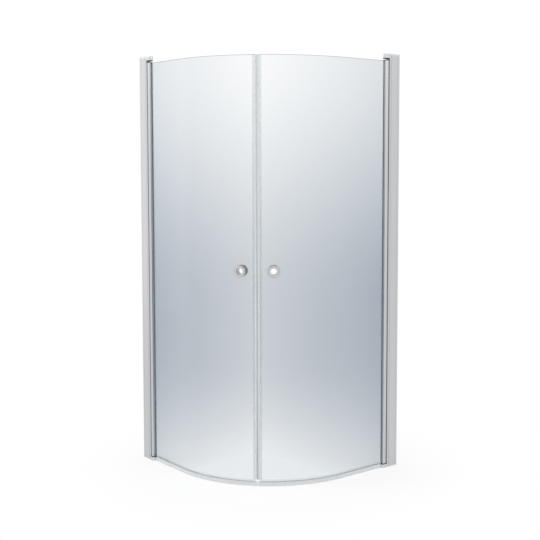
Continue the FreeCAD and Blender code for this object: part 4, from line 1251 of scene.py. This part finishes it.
class SHOWER_OT_screws(Operator):
    """Set the locking screws with their caps, the bracket screws and the grub screws"""

    bl_idname = "shower.screws"
    bl_label = "Screws and caps"

    def execute(self, context):
        steel = bpy.data.materials["stainless_steel"]
        pale = bpy.data.materials["pale_plastic_moulding"]
        locks = self.locking_row(self.locking_screw(), steel)
        add_pair("locking_screws", locks, "lock_screws", "frame", steel)
        caps = self.locking_row(self.snap_cap(), pale)
        add_pair("snap_caps", caps, "screw_caps", "frame", pale)
        add_pair("sunk_screws", self.sunk_screws(steel), "bracket_screws", "frame", steel)
        add_pair("bracket_grub_screws", self.grub_screws(steel), "pin_screws", "frame", steel)
        return {"FINISHED"}

    def socketed(self, profile, face, width):
        """A turned screw with a six-sided socket in its upper face."""
        key = barrel(0, width, face - width * 1.2, face + OVERRUN, steps=6)
        return drilled(lathe(profile, steps=32), [key])

    def locking_row(self, part, material):
        """A part set at each locking screw's place on the inner face of the post."""
        layout, sizes = groups("layout", "screws")
        top = heights("left_top_bracket")[1]
        start = (sizes.lock_reach, layout.profile_width, sizes.lock_first)
        pitch = (0.0, 0.0, (top - 2 * sizes.lock_first) / (sizes.lock_count - 1))
        return row_of(part, start, pitch, (-math.pi / 2, 0.0, 0.0), sizes.lock_count, material)

    def locking_screw(self):
        """Pan-headed screw that holds the post on the channel."""
        sizes = bpy.context.scene.shower_screws
        radius, head, rise = sizes.lock_radius, sizes.lock_head, sizes.lock_rise
        return self.socketed([
            (0, -sizes.lock_length), (radius, -sizes.lock_length), (radius, 0), (head, 0),
            (head, rise / 2), (head * 0.8, rise), (0, rise)], rise, radius * 0.7)

    def snap_cap(self):
        """Domed cap with room for the screw's head."""
        sizes = bpy.context.scene.shower_screws
        room = sizes.lock_head + PLAY
        roof = sizes.lock_rise + PLAY
        dome = [(sizes.cap_radius * reach, sizes.cap_rise * rise)
                for reach, rise in ((1, 0), (0.95, 0.45), (0.85, 0.8), (0.6, 0.96), (0, 1))]
        return as_mesh(lathe([(room, 0), *dome, (0, roof), (room, roof)]))

    def sunk_screws(self, material):
        """Two countersunk screws up through the foot bracket and two down through the cap bracket."""
        layout, brackets, sizes = groups("layout", "brackets", "screws")
        radius, head = sizes.port_radius, sizes.port_head
        screw = self.socketed([
            (0, 0), (head, 0), (radius, radius - head), (radius, -sizes.port_length),
            (0, -sizes.port_length)], 0, radius * 0.75)
        across = (0.0, layout.profile_width - 2 * brackets.port_inset, 0.0)
        ends = ((0.0, math.pi), (heights("left_top_bracket")[1], 0.0))
        return joined(*[
            row_of(screw, (brackets.port_reach, brackets.port_inset, level), across, (turn, 0.0, 0.0),
                   count=2, material=material)
            for level, turn in ends])

    def grub_screws(self, material):
        """One grub screw in the block and one in the arm, each against its hinge pin."""
        layout, brackets, sizes = groups("layout", "brackets", "screws")
        radius = sizes.grub_radius
        shank = layout.profile_width / 2 - brackets.pin_radius - sizes.grub_sink - PLAY
        screw = self.socketed([(0, 0), (radius, 0), (radius, -shank), (0, -shank)], 0, radius * 0.5)
        low, high = [sum(heights(f"left_{end}_bracket")) / 2 for end in ("bottom", "top")]
        start = (layout.hinge_reach, sizes.grub_sink, low)
        return row_of(screw, start, (0.0, 0.0, high - low), (math.pi / 2, 0.0, 0.0), count=2,
                      material=material)


class SHOWER_OT_panes(Operator):
    """Build the curved panes with their ground edges and the holes for the grips"""

    bl_idname = "shower.panes"
    bl_label = "Glass panes"

    def execute(self, context):
        layout, panes, grip, look = groups("layout", "panes", "grips", "glass")
        bottom, top = heights("left_glass")
        outer = layout.face_setback
        inner = outer + panes.thickness
        edge = panes.arris
        section = rounded([
            (outer, bottom, edge), (inner, bottom, edge), (inner, top, edge), (outer, top, edge)], steps=3)
        radius = middle_radius()
        hole = grip.bore + grip.sleeve_wall + grip.hole_gap
        drill = moved(barrel(0, hole, radius - THROUGH, radius + THROUGH, steps=64), grip_matrix())
        bend = math.pi / 4 - math.asin(panes.to_seam / radius)
        glass = pane_glass("clear_safety_glass", look)
        pane = along_door(section, panes.start, bend, drill, glass)
        add_pair("pane", pane, "glass", "door", glass)
        return {"FINISHED"}


class SHOWER_OT_meeting_strips(Operator):
    """Build the clear clip strips on the meeting edges and the magnets inside them"""

    bl_idname = "shower.meeting_strips"
    bl_label = "Meeting strips"

    def execute(self, context):
        seals, look, glass = groups("seals", "finishes", "glass")
        bottom, top = heights("left_seam_seal")
        room = prism(self.magnet(PLAY), bottom - OVERRUN, top + OVERRUN)
        clear = clear_soft_plastic("clear_seal_plastic", look.clear_plastic, look.seam_nose_painted_shade,
                                   seals.nose_depth, glass)
        strip = drilled(prism(self.strip(), bottom, top), [room])
        add_pair("clip_strip", strip, "seam_seal", "door", clear)
        coated = moulded("coated_magnet", look.magnet, roughness=0.45, grain_size=0.0008, relief=0.00002)
        bar = as_mesh(soften(prism(self.magnet(0), bottom, top), SOFT_EDGE))
        add_pair("magnet_bar", bar, "magnet_strip", "door", coated)
        return {"FINISHED"}

    def strip(self):
        """Outline of the clip: legs on both faces of the glass and a nose at the middle plane."""
        panes, seals = groups("panes", "seals")
        middle = middle_radius()
        inner, outer = glass_radii()
        inside = inner - seals.clearance
        outside = outer + seals.clearance
        edge = panes.to_seam
        end = edge + seals.leg
        stop = edge - seals.clearance
        return [
            *leg(outside + seals.wall, end, edge),
            seam_place(outside + seals.wall, seals.nose_depth),
            seam_place(middle + seals.nose_flat / 2, seals.nose_gap),
            seam_place(middle - seals.nose_flat / 2, seals.nose_gap),
            seam_place(inside - seals.wall, seals.nose_depth),
            *leg(inside - seals.wall, edge, end),
            *leg(inside, end, stop),
            *leg(outside, stop, end),
        ]

    def magnet(self, gap):
        """Outline of the magnet between the nose and the glass, grown by a gap."""
        panes, seals = groups("panes", "seals")
        radius = middle_radius()
        half = seals.magnet_width / 2 + gap
        middle = (panes.to_seam - seals.clearance + seals.nose_depth - seals.wall / 2) / 2
        near = middle - seals.magnet_depth / 2 - gap
        far = middle + seals.magnet_depth / 2 + gap
        return [seam_place(radius + half, near), seam_place(radius - half, near),
                seam_place(radius - half, far), seam_place(radius + half, far)]


class SHOWER_OT_sweeps(Operator):
    """Build the sweeps under the panes, with their skirts, drip fins and mitred ends"""

    bl_idname = "shower.sweeps"
    bl_label = "Bottom sweeps"

    def execute(self, context):
        layout, seals, look = groups("layout", "seals", "finishes")
        roof = heights("left_glass")[0] - seals.clearance
        milky = milky_soft_plastic("milky_sweep_plastic", look.sweep_plastic, roof)
        wedge = prism(self.wedge(), -OVERRUN, THROUGH)
        start = layout.hinge_reach + seals.sweep_start
        sweep = along_door(self.section(roof), start, math.pi / 4, wedge, milky)
        add_pair("door_sweep", sweep, "bottom_seal", "door", milky)
        return {"FINISHED"}

    def section(self, roof):
        """Section of the sweep: legs on both faces of the glass, a skirt outside and a drip fin inside."""
        layout, panes, seals = groups("layout", "panes", "seals")
        low, high = heights("left_bottom_seal")
        wall = seals.sweep_wall
        tip = seals.sweep_rounding
        outside = layout.face_setback - seals.clearance
        inside = layout.face_setback + panes.thickness + seals.clearance
        floor = roof - wall
        fin = inside + seals.fin_run
        return rounded([
            (outside - wall, low, tip), (outside, low, tip), (outside, floor), (inside, floor),
            (fin, floor - seals.fin_drop, tip), (fin + wall, floor - seals.fin_drop, tip),
            (inside + wall, roof), (inside + wall, high, tip), (inside, high, tip), (inside, roof),
            (outside, roof), (outside, high, tip), (outside - wall, high, tip)], steps=2)

    def wedge(self):
        """Outline of what is cut off the sweep's end, so that both sweeps meet in a mitre."""
        panes, seals = groups("panes", "seals")
        wall = seals.sweep_wall
        skirt = glass_radii()[1] + seals.clearance + wall
        depth = 2 * panes.thickness + seals.fin_run
        return [
            seam_place(skirt + wall, seals.mitre_gap - seals.mitre * wall),
            seam_place(skirt - depth, seals.mitre_gap + seals.mitre * depth),
            seam_place(skirt - depth, -panes.to_seam),
            seam_place(skirt + wall, -panes.to_seam),
        ]


class SHOWER_OT_grips(Operator):
    """Build the ring grips: two rings, sleeve, washers and the grub screw"""

    bl_idname = "shower.grips"
    bl_label = "Ring grips"

    def execute(self, context):
        sizes, look = groups("grips", "finishes")
        chrome = chrome_metal("polished_chrome", look.chrome, look.chrome_painted_rim_reflection)
        clear = bpy.data.materials["clear_seal_plastic"]
        steel = bpy.data.materials["stainless_steel"]
        inner, outer = glass_radii()
        fit = sizes.bore + sizes.sleeve_wall
        section = self.ring_section(sizes, fit + PLAY)
        outer_ring = self.ring(section, outer + sizes.seat, 1)
        add_pair("outer_grip", as_mesh(outer_ring), "grip_outer_ring", "door", chrome)
        inner_ring = self.ring(section, inner - sizes.seat, -1)
        drill = barrel(0, sizes.grub_radius + PLAY, -OVERRUN, sizes.radius - fit, steps=24)
        mesh = drilled(inner_ring, [self.from_below(drill, sizes, inner)])
        add_pair("inner_grip", mesh, "grip_inner_ring", "door", chrome)
        reach = sizes.seat + sizes.depth - sizes.lip - PLAY
        sleeve = moved(barrel(sizes.bore, fit, inner - reach, outer + reach, steps=96), grip_matrix())
        add_pair("grip_tube", as_mesh(sleeve), "grip_sleeve", "door", chrome)
        add_pair("glass_washers", self.washers(sizes, fit + PLAY), "grip_washers", "door",
                 clear)
        end = sizes.radius - fit - PLAY
        grub = self.from_below(barrel(0, sizes.grub_radius, sizes.grub_sink, end, steps=24), sizes, inner)
        add_pair("grip_grub_screw", as_mesh(grub), "grip_screw", "door", steel)
        return {"FINISHED"}

    def ring_section(self, sizes, fit):
        """Half section of a ring, from its seat on the washer to the lip that covers the sleeve."""
        shoulder = sizes.depth - sizes.rounding
        return [
            Vector((fit, 0)), Vector((sizes.radius - SOFT_EDGE, 0)), Vector((sizes.radius, SOFT_EDGE)),
            *arc(Vector((sizes.radius - sizes.rounding, shoulder)), sizes.rounding, 0, 90, steps=8),
            *arc(Vector((sizes.bore + sizes.rounding, shoulder)), sizes.rounding, 90, 180, steps=8),
            Vector((sizes.bore, sizes.depth - sizes.lip)), Vector((fit, sizes.depth - sizes.lip)),
        ]

    def ring(self, section, base, way):
        """A ring turned from its section, outwards or inwards from its seat."""
        turned = lathe([(radius, base + way * rise) for radius, rise in section], steps=96)
        return moved(turned, grip_matrix())

    def from_below(self, solid, sizes, inner):
        """Place an upright turned solid under the inner ring, its height measured from the ring's flank."""
        place = Matrix.Translation((0, -sizes.radius, inner - sizes.seat - sizes.depth / 2))
        return moved(solid, grip_matrix() @ place @ Matrix.Rotation(-math.pi / 2, 4, "X"))

    def washers(self, sizes, fit):
        """Soft rings, flat under the metal rings and following the curve of the glass on the other side."""
        gap = bpy.context.scene.shower_seals.clearance
        inner, outer = glass_radii()
        meshes = []
        for flat, curved in ((outer + sizes.seat, outer + gap), (inner - sizes.seat, inner - gap)):
            solid = barrel(fit, sizes.washer_radius, min(flat, curved), max(flat, curved), steps=64)
            for vert in solid.verts:
                if abs(vert.co.z - flat) > WELD:
                    vert.co.z = math.sqrt(curved ** 2 - vert.co.x ** 2)
            meshes.append(as_mesh(moved(solid, grip_matrix())))
        return joined(*meshes)


class SHOWER_OT_stage(Operator):
    """Lay the floor and set the room light, the lamps and the camera"""

    bl_idname = "shower.stage"
    bl_label = "Stage"

    def execute(self, context):
        scene = context.scene
        look = scene.shower_stage
        solid = bmesh.new()
        bmesh.ops.create_circle(solid, cap_ends=True, radius=FLOOR_RADIUS, segments=64)
        moved(solid, Matrix.Translation((0, 0, -FLOOR_DROP)))
        floor = as_object(as_mesh(solid), "floor")
        floor.data.materials.append(stage_floor("pale_floor", look))
        self.room(scene, look)
        for name, place, aim, size in LAMPS:
            self.lamp(f"{name}_lamp", place, aim, size, getattr(look, name))
        self.camera(scene, look)
        scene.view_settings.view_transform = "Standard"
        return {"FINISHED"}

    def room(self, scene, look):
        """White surroundings, dimmer for the light that they throw on the object."""
        world = bpy.data.worlds.new("white_room")
        scene.world = world
        world.use_nodes = True
        world.node_tree.nodes.clear()
        graph = Graph(world.node_tree)
        strength = look.ambient + looked_at(graph) * (1 - look.ambient)
        white = graph.add("ShaderNodeBackground", None, {"Color": (1, 1, 1, 1), "Strength": strength})
        graph.add("ShaderNodeOutputWorld", None, {"Surface": white["Background"]})

    def lamp(self, name, place, aim, size, watts):
        """A soft square lamp turned towards a point."""
        light = bpy.data.lights.new(name, "AREA")
        light.size = size
        light.energy = watts
        lamp = as_object(light, name)
        lamp.location = place
        lamp.rotation_euler = (Vector(aim) - Vector(place)).to_track_quat("-Z", "Y").to_euler()

    def camera(self, scene, look):
        """The camera at the photographed angle."""
        lens = bpy.data.cameras.new("camera")
        lens.lens = look.lens
        lens.sensor_width = 36
        lens.shift_x = look.shift_x
        lens.shift_y = look.shift_y
        lens.clip_end = 100
        camera = as_object(lens, "camera")
        camera.location = look.camera_place
        camera.rotation_euler = (math.pi / 2 - look.pitch, 0, look.azimuth)
        scene.camera = camera


class SHOWER_PT_panel(Panel):
    """Lists the steps and their sizes."""

    bl_idname = "SHOWER_PT_panel"
    bl_label = "Quadrant shower enclosure"
    bl_space_type = "VIEW_3D"
    bl_region_type = "UI"
    bl_category = "Shower"

    def draw(self, context):
        for group in GROUPS:
            box = self.layout.box()
            box.label(text=GROUPS[group].__doc__)
            for name in GROUPS[group].__annotations__:
                box.prop(getattr(context.scene, group), name)
        for operator in OPERATORS:
            self.layout.operator(operator.bl_idname)


GROUPS = {
    "shower_layout": LayoutSizes,
    "shower_profiles": ProfileSizes,
    "shower_brackets": BracketSizes,
    "shower_panes": PaneSizes,
    "shower_seals": SealSizes,
    "shower_grips": GripSizes,
    "shower_screws": ScrewSizes,
    "shower_finishes": FinishLook,
    "shower_glass": GlassLook,
    "shower_stage": StageLook,
}

OPERATORS = [
    SHOWER_OT_wall_profiles,
    SHOWER_OT_hinge_tubes,
    SHOWER_OT_brackets,
    SHOWER_OT_bearings,
    SHOWER_OT_screws,
    SHOWER_OT_panes,
    SHOWER_OT_meeting_strips,
    SHOWER_OT_sweeps,
    SHOWER_OT_grips,
    SHOWER_OT_stage,
]


def register():
    for entry in [*GROUPS.values(), *OPERATORS, SHOWER_PT_panel]:
        bpy.utils.register_class(entry)
    for name, group in GROUPS.items():
        setattr(bpy.types.Scene, name, PointerProperty(type=group))


def unregister():
    for name in GROUPS:
        delattr(bpy.types.Scene, name)
    for entry in [SHOWER_PT_panel, *reversed(OPERATORS), *reversed(GROUPS.values())]:
        bpy.utils.unregister_class(entry)


def main():
    register()
    for operator in OPERATORS:
        getattr(bpy.ops.shower, operator.bl_idname.split(".")[1])()


if __name__ == "__main__":
    main()
